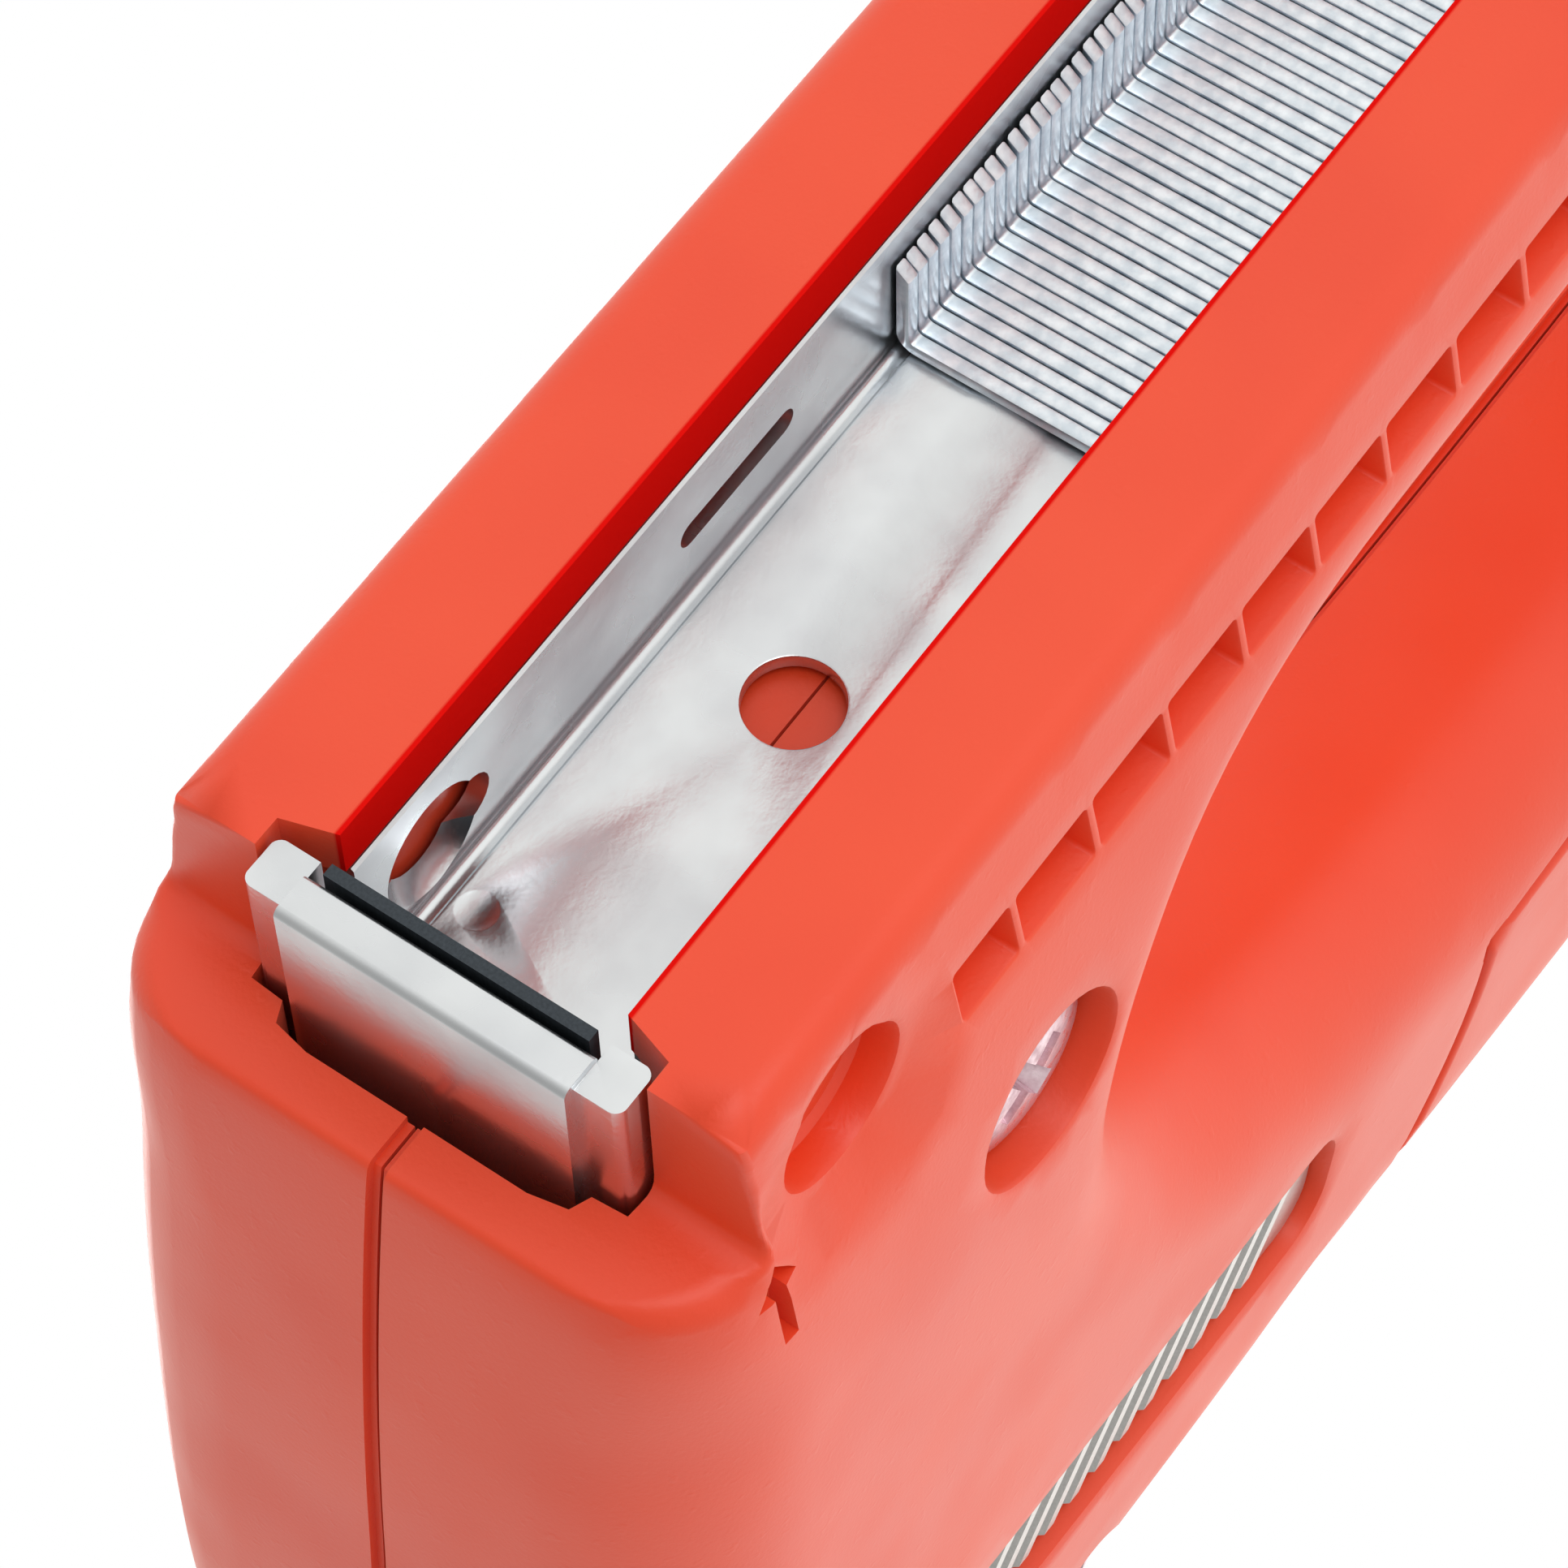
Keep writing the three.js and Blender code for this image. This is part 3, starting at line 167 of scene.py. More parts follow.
# %% [markdown]
# The housing is ABS, injection moulded in a spark-eroded tool. The tool's craters leave a fine
# matt grain of about 0.2 mm, which scatters the light and makes the colour look washed where it
# is seen at a slant. A slow drift of colour stands for the way the melt flowed. The two walls of
# the staple slot lie in shade, and that shade is painted in: a deeper red and no specular or
# sheen there. A mask finds them by their place in the gun.

# %% Moulded ABS
SLOT_HALF = 6.0      # the slot's walls are nearer the centre plane than this, mm
SLOT_TOP_Z = 2.7     # and lower than this
SLOT_FRONT_X = -1.0  # and between these, from the blade
SLOT_REAR_X = -127


def painted_slot_shade(material):
    """Mask of the painted shade: 1 on the walls of the staple slot and 0 elsewhere, with a short blend."""
    where = add(material, "ShaderNodeTexCoord").outputs["Object"]
    place = add(material, "ShaderNodeSeparateXYZ", None, {0: where}).outputs
    across = add(material, "ShaderNodeMath", {"operation": "ABSOLUTE"}, {0: place["Y"]}).outputs[0]
    front, rear = DATUM_X + SLOT_FRONT_X * MM, DATUM_X + SLOT_REAR_X * MM
    mask = remap(material, across, SLOT_HALF * MM, (SLOT_HALF + 0.1) * MM, 1, 0)
    for limit in (
        remap(material, place["Z"], SLOT_TOP_Z * MM, (SLOT_TOP_Z + 0.3) * MM, 1, 0),
        remap(material, place["X"], front, front + 0.4 * MM, 1, 0),
        remap(material, place["X"], rear - 1 * MM, rear, 0, 1),
    ):
        mask = add(material, "ShaderNodeMath", {"operation": "MULTIPLY"}, {0: mask, 1: limit}).outputs[0]
    return mask


def moulded_abs():
    material, surface = finish_named("moulded_abs", Roughness=0.42, IOR=1.53, Subsurface_Weight=0.12,
                                     Subsurface_Radius=(1.0, 0.25, 0.1), Subsurface_Scale=1.2 * MM,
                                     Sheen_Roughness=0.5, Sheen_Tint=linear("#FFE6D0"))
    drift = remap(material, grain(material, 14), 0.35, 0.65, 0, 1)
    slot = painted_slot_shade(material)
    melt = tint(material, drift, "#E64019", "#EA461E")
    # painted shade: the slot walls get a deeper red (#DC120E) and lose their specular and sheen
    link(material, tint(material, slot, melt, "#DC120E"), surface, "Base Color")
    link(material, remap(material, slot, 0, 1, 0.5, 0.0), surface, "Specular IOR Level")
    link(material, remap(material, slot, 0, 1, 0.08, 0), surface, "Sheen Weight")
    worn = remap(material, grain(material, 9), 0.4, 0.75, 0.40, 0.48)
    link(material, worn, surface, "Roughness")
    pores = remap(material, grain(material, 0.8), 0.62, 0.72, 0, 1)
    relief = bump(material, grain(material, 0.22, 3), 0.010)
    link(material, bump(material, pores, 0.006, relief), surface, "Normal")
    return material


# %% [markdown]
# The channel, the magazine rail and the nose plate are folded from bright cold-rolled steel.
# Rolling leaves long faint streaks, and handling and oil leave cloudy patches. Both show in how
# sharp a reflection is, so they go into the roughness and a very shallow relief, not the colour.

# %% Bright rolled steel


def rolled_steel():
    material, surface = finish_named("rolled_steel", Metallic=1.0, Roughness=0.2)
    clouds = remap(material, grain(material, 6, 3), 0.35, 0.7, 0, 1)
    link(material, tint(material, clouds, "#DBDEE1", "#CCCFD3"), surface, "Base Color")
    link(material, remap(material, clouds, 0, 1, 0.22, 0.34), surface, "Roughness")
    orange_peel = grain(material, 0.35, 2)
    waves = grain(material, 5, 1, (0.5, 1, 1))
    relief = bump(material, waves, 0.005)
    link(material, bump(material, orange_peel, 0.007, relief), surface, "Normal")
    return material


# %% [markdown]
# The other finishes are one pattern of noise each, which shades between two colours, with a fine
# relief and sometimes a roughness that goes with the pattern. One function makes them all.

# %% Patterned finishes


def patterned(name, colours, pattern, relief=None, roughness=None, contrast=None, **shader):
    """A finish of one noise pattern. relief is a pattern, or None for the same one, and a depth."""
    material, surface = finish_named(name, **shader)
    spots = grain(material, *pattern)
    if contrast:
        spots = remap(material, spots, *contrast, 0, 1)
    link(material, tint(material, spots, *colours), surface, "Base Color")
    if roughness:
        link(material, remap(material, spots, *roughness), surface, "Roughness")
    if relief:
        fine, depth = relief
        height = grain(material, *fine) if fine else spots
        link(material, bump(material, height, depth), surface, "Normal")
    print(name, "shades from", *colours)
    return material


ABS = moulded_abs()
BRIGHT_STEEL = rolled_steel()

# %% [markdown]
# Screws, pins and the lever are zinc plated. Zinc is a soft, slightly blue or yellow grey that
# dulls unevenly. The screws keep a faint pink from the passivation bath.

# %% Zinc plate
PLATE = {"pattern": (0.5, 3), "contrast": (0.35, 0.65), "roughness": (0, 1, 0.26, 0.42),
         "relief": ((0.3, 2), 0.006), "Metallic": 1.0, "Roughness": 0.32}
ZINC = patterned("zinc_plate", ("#C9CBCD", "#AEB1B4"), **PLATE)
SCREW_ZINC = patterned("screw_zinc", ("#EAD2DA", "#C8A9B2"), **PLATE)

# %% [markdown]
# The driver blade is hardened tool steel with a blued face. Grinding leaves parallel scratches
# about 0.05 mm apart along the stroke. They are drawn at 0.12 mm here so that they can be seen.

# %% Blued tool steel
BLUED = patterned("blued_tool_steel", ("#2A2F34", "#454C53"), (0.12, 2, (1, 1, 0.04)),
                  relief=(None, 0.006), Metallic=0.7, Roughness=0.45)

# %% [markdown]
# Springs are drawn spring steel. Drawing through a die polishes the wire and scores it
# lengthwise, so it is bright with a little streaking.

# %% Drawn spring wire
WIRE = patterned("drawn_wire", ("#A4A8AC", "#C6C9CC"), (0.6, 3), roughness=(0.3, 0.7, 0.22, 0.36),
                 Metallic=1.0, Roughness=0.28)

# %% [markdown]
# Staples are flattened galvanised wire, glued side by side. The zinc is pale and bluish and the
# glue leaves a faint gloss, so the wire is metal with a thin clear coat.

# %% Galvanised staple wire
STAPLE = patterned("galvanised_wire", ("#EDF4FA", "#D2DDE6"), (0.7, 3), contrast=(0.35, 0.65),
                   relief=((0.25, 2), 0.008), Metallic=1.0, Roughness=0.33, Coat_Weight=0.25,
                   Coat_Roughness=0.2)

# %% [markdown]
# The side badges are ABS with a vacuum-metallised silver lacquer: fully metallic to the eye, and
# a little rough, because the lacquer lies over the moulded stripes. The squeeze buttons are
# glass-filled nylon, matt black with the fibres just breaking the surface. The bumper is rubber.

# %% Lacquer, nylon and rubber
SILVER = patterned("silver_lacquer", ("#D9D8D6", "#BDBCBA"), (0.15, 2), relief=(None, 0.004),
                   Metallic=0.85, Roughness=0.3)
NYLON = patterned("filled_nylon", ("#1B1D1F", "#2E3134"), (0.5, 3, (0.3, 1, 1)),
                  relief=(None, 0.01), Roughness=0.5, IOR=1.53)
RUBBER = patterned("moulded_rubber", ("#161616", "#242322"), (2, 3), relief=((0.2, 2), 0.01),
                   Roughness=0.8, IOR=1.5)
print(len(bpy.data.materials), "finishes")

# %% [markdown]
# ## Stage
# The gun stands on its base rails on a pale floor, but the camera looks up at it from below and
# in front, where the open channel shows. So the floor is one-sided: seen from above it is a plain
# matt table, and from below it isn't there. It casts no shadow, so light reaches the underside.

# %% Floor
FLOOR_HALF = 2.0     # m
FLOOR_GAP = 0.0003   # m, so that the floor and the rails are never in one plane


def placed(name, data):
    """A new object in the scene."""
    made = bpy.data.objects.new(name, data)
    bpy.context.scene.collection.objects.link(made)
    return made


def one_sided_floor():
    z = cad_low.z - FLOOR_GAP
    corners = [(x * FLOOR_HALF, y * FLOOR_HALF, z) for x, y in ((-1, -1), (1, -1), (1, 1), (-1, 1))]
    mesh = bpy.data.meshes.new("floor")
    mesh.from_pydata(corners, [], [(0, 1, 2, 3)])
    floor = placed("floor", mesh)
    material, surface = finish_named("pale_floor", Roughness=0.9)
    surface.inputs["Base Color"].default_value = linear("#EDEDEB")
    side = add(material, "ShaderNodeNewGeometry").outputs["Backfacing"]
    clear = add(material, "ShaderNodeBsdfTransparent").outputs[0]
    mix = add(material, "ShaderNodeMixShader", None, {0: side, 1: surface.outputs[0], 2: clear})
    link(material, mix.outputs[0], material.node_tree.nodes["Material Output"], 0)
    mesh.materials.append(material)
    for ray in ("visible_diffuse", "visible_glossy", "visible_transmission", "visible_shadow"):
        setattr(floor, ray, False)
    print("floor", round(FLOOR_GAP * 1000, 2), "mm under the rails")


one_sided_floor()

# %% [markdown]
# A long lens well back keeps the gun's long edges nearly parallel. The camera is below the rails,
# in front of the nose and to the gun's right, rolled so that the channel runs up to the right.
# Its three axes are written out, because they say exactly how it is turned.

# %% Camera
CAMERA_PLACE = (67.67, -65.11, -167.61)
CAMERA_RIGHT = Vector((-0.57911, -0.81500, 0.02010))
CAMERA_UP = Vector((-0.70772, 0.49034, -0.50862))
LENS_MM = 135.97
SENSOR_MM = 36.0


def long_lens_camera():
    data = bpy.data.cameras.new("camera")
    data.lens = LENS_MM
    data.sensor_width = SENSOR_MM
    data.clip_start = 0.01
    camera = placed("camera", data)
    back = CAMERA_RIGHT.cross(CAMERA_UP)
    turned = Matrix((CAMERA_RIGHT, CAMERA_UP, back)).transposed().to_4x4()
    camera.matrix_world = Matrix.Translation(TO_FRAME @ Vector(CAMERA_PLACE)) @ turned
    bpy.context.scene.camera = camera
    print("camera", round(Vector(CAMERA_PLACE).length), "mm from the blade")


long_lens_camera()

# %% [markdown]
# The light is a white tent: a bright surround that falls off to half towards the nose's side and
# is a little brighter overhead, so the steel has something to reflect from light to dark. The
# camera itself sees plain white behind the gun. One large soft lamp is under the gun on the
# camera's side and one above it. Large lamps give the wide soft highlights of matt plastic.

# %% Light
TENT_COLOUR = (1, 0.99, 0.955, 1)
TENT_FALL = (-0.35, 0.9, 1.12, 0.5)     # between these directions along x, from and to this strength
TENT_CROWN = (0.5, 0.95, 0.0, 0.3)      # the same upwards, added
UNDER_LAMP = ((0.05, -0.25, -0.6), 0.35, 0.9)     # place from the nose m, size m, power W
TOP_LAMP = ((-0.35, 0.4, 0.8), 0.5, 3.0)


def soft_lamp(name, target, place, size, power):
    data = bpy.data.lights.new(name, "AREA")
    data.shape = "DISK"
    data.size = size
    data.energy = power
    lamp = placed(name, data)
    lamp.location = target + Vector(place)
    lamp.rotation_euler = (target - lamp.location).to_track_quat("-Z", "Y").to_euler()


def white_tent():
    world = bpy.data.worlds.new("tent")
    bpy.context.scene.world = world
    world.use_nodes = True
    nodes = world.node_tree.nodes
    where = add(world, "ShaderNodeTexCoord").outputs["Generated"]
    direction = add(world, "ShaderNodeSeparateXYZ", None, {0: where}).outputs
    fall = remap(world, direction["X"], *TENT_FALL)
    crown = remap(world, direction["Z"], *TENT_CROWN)
    strength = add(world, "ShaderNodeMath", None, {0: fall, 1: crown}).outputs[0]
    tent = nodes["Background"]
    tent.inputs["Color"].default_value = TENT_COLOUR
    link(world, strength, tent, "Strength")
    plain = add(world, "ShaderNodeBackground", None, {"Color": (1, 1, 1, 1), "Strength": 1.0})
    seen = add(world, "ShaderNodeLightPath").outputs["Is Camera Ray"]
    mix = add(world, "ShaderNodeMixShader", None, {0: seen, 1: tent.outputs[0], 2: plain.outputs[0]})
    link(world, mix.outputs[0], nodes["World Output"], 0)
    nose = TO_FRAME @ Vector((0, 0, 10))
    soft_lamp("under_lamp", nose, *UNDER_LAMP)
    soft_lamp("top_lamp", nose, *TOP_LAMP)
    bpy.context.scene.view_settings.view_transform = "Standard"
    print("a tent and", len(bpy.data.lights), "soft lamps")


white_tent()

# %% [markdown]
# ## Outline tools
# A moulding is drawn as a toolmaker draws it: an outline seen from the side, a thickness, and a
# rounding at every edge. The outline is made of lines, arcs and Bezier curves. The side face is
# then a height over that outline. Rows of points follow each edge at the steps of a quarter
# circle, so the rounding is even, and a Delaunay triangulation joins all the points up.

# %% Curves in the side view
FINE = 1.4      # spacing of points along an outline, mm


def line(a, b, spacing=FINE):
    count = max(1, round(math.dist(a, b) / spacing))
    t = np.linspace(0, 1, count, endpoint=False)[:, None]
    return np.array(a) * (1 - t) + np.array(b) * t


def bezier(a, b, c, d, spacing=FINE):
    count = max(2, round((math.dist(a, b) + math.dist(b, c) + math.dist(c, d)) / spacing))
    t = np.linspace(0, 1, count, endpoint=False)[:, None]
    a, b, c, d = (np.array(p, float) for p in (a, b, c, d))
    return a * (1 - t) ** 3 + 3 * b * t * (1 - t) ** 2 + 3 * c * t**2 * (1 - t) + d * t**3


def arc(centre, radius, start, end, spacing=FINE):
    """From start to end degrees, without the last point."""
    count = max(3, round(radius * math.radians(abs(end - start)) / spacing))
    angles = np.radians(np.linspace(start, end, count, endpoint=False))
    return np.array(centre) + radius * np.column_stack((np.cos(angles), np.sin(angles)))


def distance(points, path):
    """How far each point is from an open path."""
    a, step = path[:-1], np.diff(path, axis=0)
    length2 = (step**2).sum(1) + 1e-12
    offset = points[:, None, :] - a
    t = np.clip((offset * step).sum(2) / length2, 0, 1)
    return np.sqrt(((offset - t[..., None] * step) ** 2).sum(2).min(1))


def closed(loop):
    return np.vstack((loop, loop[:1]))


def inside(points, loop):
    """Which points lie inside a closed loop."""
    x, z = points[:, 0][:, None], points[:, 1][:, None]
    x1, z1 = loop[:, 0], loop[:, 1]
    x2, z2 = np.roll(x1, -1), np.roll(z1, -1)
    crosses = (z1 > z) != (z2 > z)
    where = x1 + (z - z1) * (x2 - x1) / np.where(z2 == z1, 1e-9, z2 - z1)
    return (crosses & (x < where)).sum(1) % 2 == 1


def inward(loop):
    """The unit normal at each point of a loop, into the loop."""
    along = np.roll(loop, -1, 0) - np.roll(loop, 1, 0)
    normal = np.column_stack((-along[:, 1], along[:, 0]))
    normal /= np.linalg.norm(normal, axis=1)[:, None]
    area = (loop[:, 0] * np.roll(loop[:, 1], -1) - np.roll(loop[:, 0], -1) * loop[:, 1]).sum()
    return normal if area > 0 else -normal


def quarter_drop(distance_in, radius):
    """How far a rounded edge has fallen at a distance in from the edge."""
    d = np.clip(distance_in, 0, radius)
    return radius - np.sqrt(np.maximum(radius**2 - (radius - d) ** 2, 0))


def smooth(value, low, high):
    t = np.clip((value - low) / (high - low), 0, 1)
    return t * t * (3 - 2 * t)


def quarter_turn(steps):
    """Cosine and sine at the steps of a quarter circle."""
    angles = [math.pi / 2 * step / steps for step in range(steps + 1)]
    return [(math.cos(a), math.sin(a)) for a in angles]


print("a straight of 100 mm gets", len(line((0, 0), (100, 0))), "points")

# %% [markdown]
# The gun's own curves. They are the CAD model's, in the same millimetres, so that the finished
# moulding lies inside the solid that it replaces. The lip's lower edge has a rounding of its own.

# %% The gun's outline
TAIL_X = -126
RAIL_FRONT_X = 0.6
LIP_Z = 6.9
LIP_FRONT_X = 5.4
NOSE_X = 9.8
BODY_TOP_Z = 75
HANDLE_TOP_Z = 80.5
PIVOT = (-34, 59)
DOME_RADIUS = BODY_TOP_Z - PIVOT[1]
GRIP_FRONT_Z = 59.3
GRIP_REAR_Z = 63
COVER_GAP = 0.9
OPENING_FRONT_X = -22
OPENING_REAR_X = -105
BAR_TOP_Z = 12
GRIP_UNDER_Z = 54
THINNEST = 0.3       # no side comes nearer to the centre plane than this, mm
GROOVE = 0.7         # the groove that runs round the joint of the two halves
GROOVE_DEPTH = 0.4
JOINT = 0.06         # how far each half stops short of the centre plane inside the groove


def nose_curve():
    brow, top = BODY_TOP_Z - 11, BODY_TOP_Z
    return np.vstack((
        bezier((LIP_FRONT_X, LIP_Z), (LIP_FRONT_X + 1.2, 13.5), (NOSE_X - 2, 22), (NOSE_X - 1.25, 32)),
        bezier((NOSE_X - 1.25, 32), (NOSE_X - 0.35, 42), (NOSE_X + 0.8, 53), (NOSE_X - 1.6, brow)),
        bezier((NOSE_X - 1.6, brow), (NOSE_X - 4, top - 3), (-2, top - 0.4), (-12, top - 0.2)),
        bezier((-12, top - 0.2), (-22, top), (-30, top), (-36, top + 0.2)),
    ))


def handle_curve():
    top, tail = HANDLE_TOP_Z, TAIL_X
    return np.vstack((
        bezier((-36, BODY_TOP_Z + 0.2), (-50, BODY_TOP_Z + 1.6), (-68, top), (-88, top)),
        bezier((-88, top), (-106, top), (tail + 6, top - 2.5), (tail, top - 7)),
        bezier((tail, top - 7), (tail - 7, top - 12), (tail - 8, top - 17), (tail - 5, top - 26)),
        bezier((tail - 5, top - 26), (tail - 3, 46), (tail - 1, 34), (tail, 16)),
    ))


def finger_opening():
    front, rear, floor, under = OPENING_FRONT_X, OPENING_REAR_X, BAR_TOP_Z, GRIP_UNDER_Z
    return np.vstack((
        bezier((front, floor + 14), (front, floor + 5), (front - 4, floor), (front - 15, floor)),
        line((front - 15, floor), (rear + 12, floor)),
        bezier((rear + 12, floor), (rear + 3, floor), (rear, floor + 4), (rear, floor + 12)),
        line((rear, floor + 12), (rear - 0.5, under - 12)),
        bezier((rear - 0.5, under - 12), (rear - 0.5, under - 3), (rear + 4, under + 0.5),
               (rear + 14, under + 0.5)),
        bezier((rear + 14, under + 0.5), (-75, under + 0.6), (-60, under), (-50, under - 1.8)),
        bezier((-50, under - 1.8), (-36, under - 5), (front, under - 13), (front, floor + 14)),
    ))


# the whole closed gun, which is what the big side roundings follow
WHOLE_GUN = np.vstack((
    line((LIP_FRONT_X, -8), (LIP_FRONT_X, LIP_Z)),
    nose_curve(),
    handle_curve(),
    line((TAIL_X, 16), (TAIL_X, -8)),
    [(TAIL_X, -8)],
))
OPENING = finger_opening()


def grip_top_z(x, gap=0.0):
    """The sloping top of the grip, from the dome to the tail."""
    front_x, rear_x = PIVOT[0] - DOME_RADIUS, TAIL_X - 20
    return GRIP_FRONT_Z + gap + (GRIP_REAR_Z - GRIP_FRONT_Z) * (front_x - x) / (front_x - rear_x)


print(len(WHOLE_GUN), "points on the gun's outline,", len(OPENING), "round the finger opening")

# %% [markdown]
# Seen from the front, the base is narrow and the body flares above it; seen from above, the tail
# is drawn in for the lock wire. The half-width is the smaller of the two. The edges then fall
# away: about 5 to 7 mm at the nose, 4 to 7 mm round the finger opening, 1.4 mm under the rails.

# %% How thick the gun is
EDGE_RADIUS = 6
RAIL_EDGE = 1.4
CUT_EDGE = 0.4
LIP_EDGE = 1.2
ROUND_RECESS = (-4.6, 5.2, 3.2)     # x, z, radius of the blind hole beside the blade
DISH_RADIUS = 5.2
DISH_FACE = 11.95


def profile(points):
    """Half-width at each height, from the front view's curve."""
    low = bezier((12.05, 3.2), (12.45, 6), (13.35, 9), (13.8, 17), 0.8)
    high = bezier((13.8, 17), (14.2, 28), (14.2, 45), (13.6, 68), 3)
    curve = np.vstack(([(11.7, 0), (11.85, 2.5)], low, high, [(13.6, 68), (13.2, 86)]))
    width = np.interp(points[:, 1], curve[:, 1], curve[:, 0])
    tail = bezier((-113, 11.7), (-106, 11.7), (-100, 14.2), (-90, 16.2), 2)
    slim = np.interp(points[:, 0], tail[:, 0], tail[:, 1])
    return np.minimum(width, slim)


def nose_radius(points):
    """The big rounding is tight at the lip and opens out above it."""
    ahead = smooth(points[:, 0], -30, -8)
    return EDGE_RADIUS + ahead * (-1.2 + 2.4 * smooth(points[:, 1], 7, 18))


def opening_radius(points):
    return 4 + 3 * smooth(points[:, 1], 14, 36)


def side_face(points, sharp):
    """How far the side stands out from the centre plane. sharp lists the paths of crisp edges."""
    y = profile(points)
    y = y - quarter_drop(distance(points, WHOLE_GUN), nose_radius(points))
    y = y - quarter_drop(distance(points, closed(OPENING)), opening_radius(points))
    y = y - quarter_drop(points[:, 1], RAIL_EDGE)
    for path, radius in sharp:
        y = y - quarter_drop(distance(points, path), radius)
    x, z, _ = ROUND_RECESS
    reach = np.hypot(points[:, 0] - x, points[:, 1] - z)
    dish = 1 - smooth(reach, DISH_RADIUS - 0.6, DISH_RADIUS + 0.1)
    return y - dish * np.maximum(y - DISH_FACE, 0)


half_widths = profile(np.array([(0.0, z) for z in (0, 20, 60)]))
print("half-width at the rails, the flare and the top:", half_widths.round(2))

# %% [markdown]
# Pockets in the side are rows of loops: the rim, its small rounding, then the wall and the
# floor. The wall leans by a few hundredths, as a moulded wall does, so the side is still a
# height over the outline and needs no boolean there.

# %% Pockets


def grown(loop, amount):
    """A closed loop moved outwards."""
    return loop - inward(loop) * amount


def pocket(loop, floor, rim=0.25, toe=0.15):
    """Loops with what each vertex does: fall below the side by a drop, or sit at a face."""
    draft = 0.05
    return [
        (grown(loop, rim), "drop", 0.0),
        (grown(loop, 0.3 * rim), "drop", 0.3 * rim),
        (loop, "drop", rim),
        (grown(loop, -draft), "face", floor + toe),
        (grown(loop, -draft - toe), "face", floor),
    ]


def circle(x, z, radius, count=40):
    angles = np.linspace(0, 2 * math.pi, count, endpoint=False)
    return np.column_stack((x + radius * np.cos(angles), z + radius * np.sin(angles)))


def rounded_box(left, bottom, right, top, radius, spacing=0.8):
    corners = [(right - radius, bottom + radius, -90), (right - radius, top - radius, 0),
               (left + radius, top - radius, 90), (left + radius, bottom + radius, 180)]

    def on_corner(x, z, degrees):
        turn = math.radians(degrees)
        return np.array((x, z)) + radius * np.array((math.cos(turn), math.sin(turn)))

    loops = []
    for (x, z, start), following in zip(corners, corners[1:] + corners[:1]):
        loops.append(arc((x, z), radius, start, start + 90, 0.25 * radius + 0.05))
        end, begin = on_corner(x, z, start + 90), on_corner(*following)
        if np.linalg.norm(begin - end) > 0.01:
            loops.append(line(end, begin, spacing))
    return np.vstack(loops)


def arrow_loop():
    """The small arrow moulded into each side at the lip. It points to where the staple leaves."""
    centre, barb, half = 0.6, 1.1, 0.35
    tip, neck, tail = LIP_Z + 0.35, LIP_Z + 2.1, LIP_Z + 5.0
    return [(centre, tip), (centre + barb, neck), (centre + half, neck), (centre + half, tail),
            (centre - half, tail), (centre - half, neck), (centre - barb, neck)]


BADGE_REAR, BADGE_FRONT, BADGE_MIDDLE, BADGE_HEIGHT = -37.5, 1.5, 58, 7.4
BADGE_TILT = math.radians(8)


def badge_outline(inset, radius):
    """The badge's outline in the side view. It rises to the rear."""
    half = BADGE_HEIGHT / 2 - inset
    flat = rounded_box(BADGE_REAR + inset, -half, BADGE_FRONT - inset, half, radius, 1.2)
    return tilted(flat)


def tilted(flat):
    centre = (BADGE_REAR + BADGE_FRONT) / 2
    x, z = np.asarray(flat, float).T
    cos, sin = math.cos(BADGE_TILT), math.sin(BADGE_TILT)
    along = x - centre
    return np.column_stack((centre + along * cos + z * sin, BADGE_MIDDLE - along * sin + z * cos))


def round_about_y(node):
    """The x and z of a round piece's axis, and its radius."""
    low, high = from_frame(node)
    return (low.x + high.x) / 2, (low.z + high.z) / 2, (high.x - low.x) / 2


WINDOW_FRONT, WINDOW_PITCH, WINDOW_RIB, WINDOW_COUNT = -10.4, 4.6, 0.4, 16
WINDOW_LOW, WINDOW_HIGH, WINDOW_FLOOR = 4.6, 7.2, 10.9
FIRST_WINDOW = 3.5                     # the front window is shorter than the pitch
SCREWS = ("body_screw_front", "body_screw_top", "body_screw_rear_lower", "body_screw_rear_upper")
SCREW_PLACES = {name: (*round_about_y(name), from_frame(name)[0].y) for name in SCREWS}
SCREW_HEAD_HEIGHT = 2.4
SCREW_HEAD, SCREW_HOLE, SCREW_SHANK = 3.7, 4.1, 1.5     # radii; the others go with the head's
LOCK_WIRE_PIVOT = (-120, 56)


def side_pockets(right):
    """Everything sunk into one side of the body."""
    pockets = []
    front = WINDOW_FRONT
    for i in range(WINDOW_COUNT):
        rear = WINDOW_FRONT - FIRST_WINDOW - i * WINDOW_PITCH
        loop = rounded_box(rear + WINDOW_RIB / 2, WINDOW_LOW, front, WINDOW_HIGH, 0.2, 1.2)
        pockets.append(pocket(loop, WINDOW_FLOOR, 0.12, 0.1))
        front = rear - WINDOW_RIB / 2
    pockets.append(pocket(circle(*ROUND_RECESS), DISH_FACE - 1.75, 0.35, 0.3))
    badge_back = -from_frame("badge_right")[1].y - FIT
    pockets.append(pocket(badge_outline(0, 2.5), badge_back, 0.5, 0.2))
    pockets.append(pocket(circle(*LOCK_WIRE_PIVOT, 1.2, 24), 9.6, 0.2, 0.1))
    if right:
        for x, z, head, top in SCREW_PLACES.values():
            seat = -top - SCREW_HEAD_HEIGHT - FIT
            pockets.append(pocket(circle(x, z, head * SCREW_HOLE / SCREW_HEAD), seat, 0.3, 0.1))
    return pockets


print(len(side_pockets(True)), "pockets on the right,", len(side_pockets(False)), "on the left")


# %% [markdown]
# The triangulation itself. It takes the outline, its holes, the pocket loops and loose points,
# and returns the flat mesh with, for each vertex, which input point it came from.

# %% Flat mesh


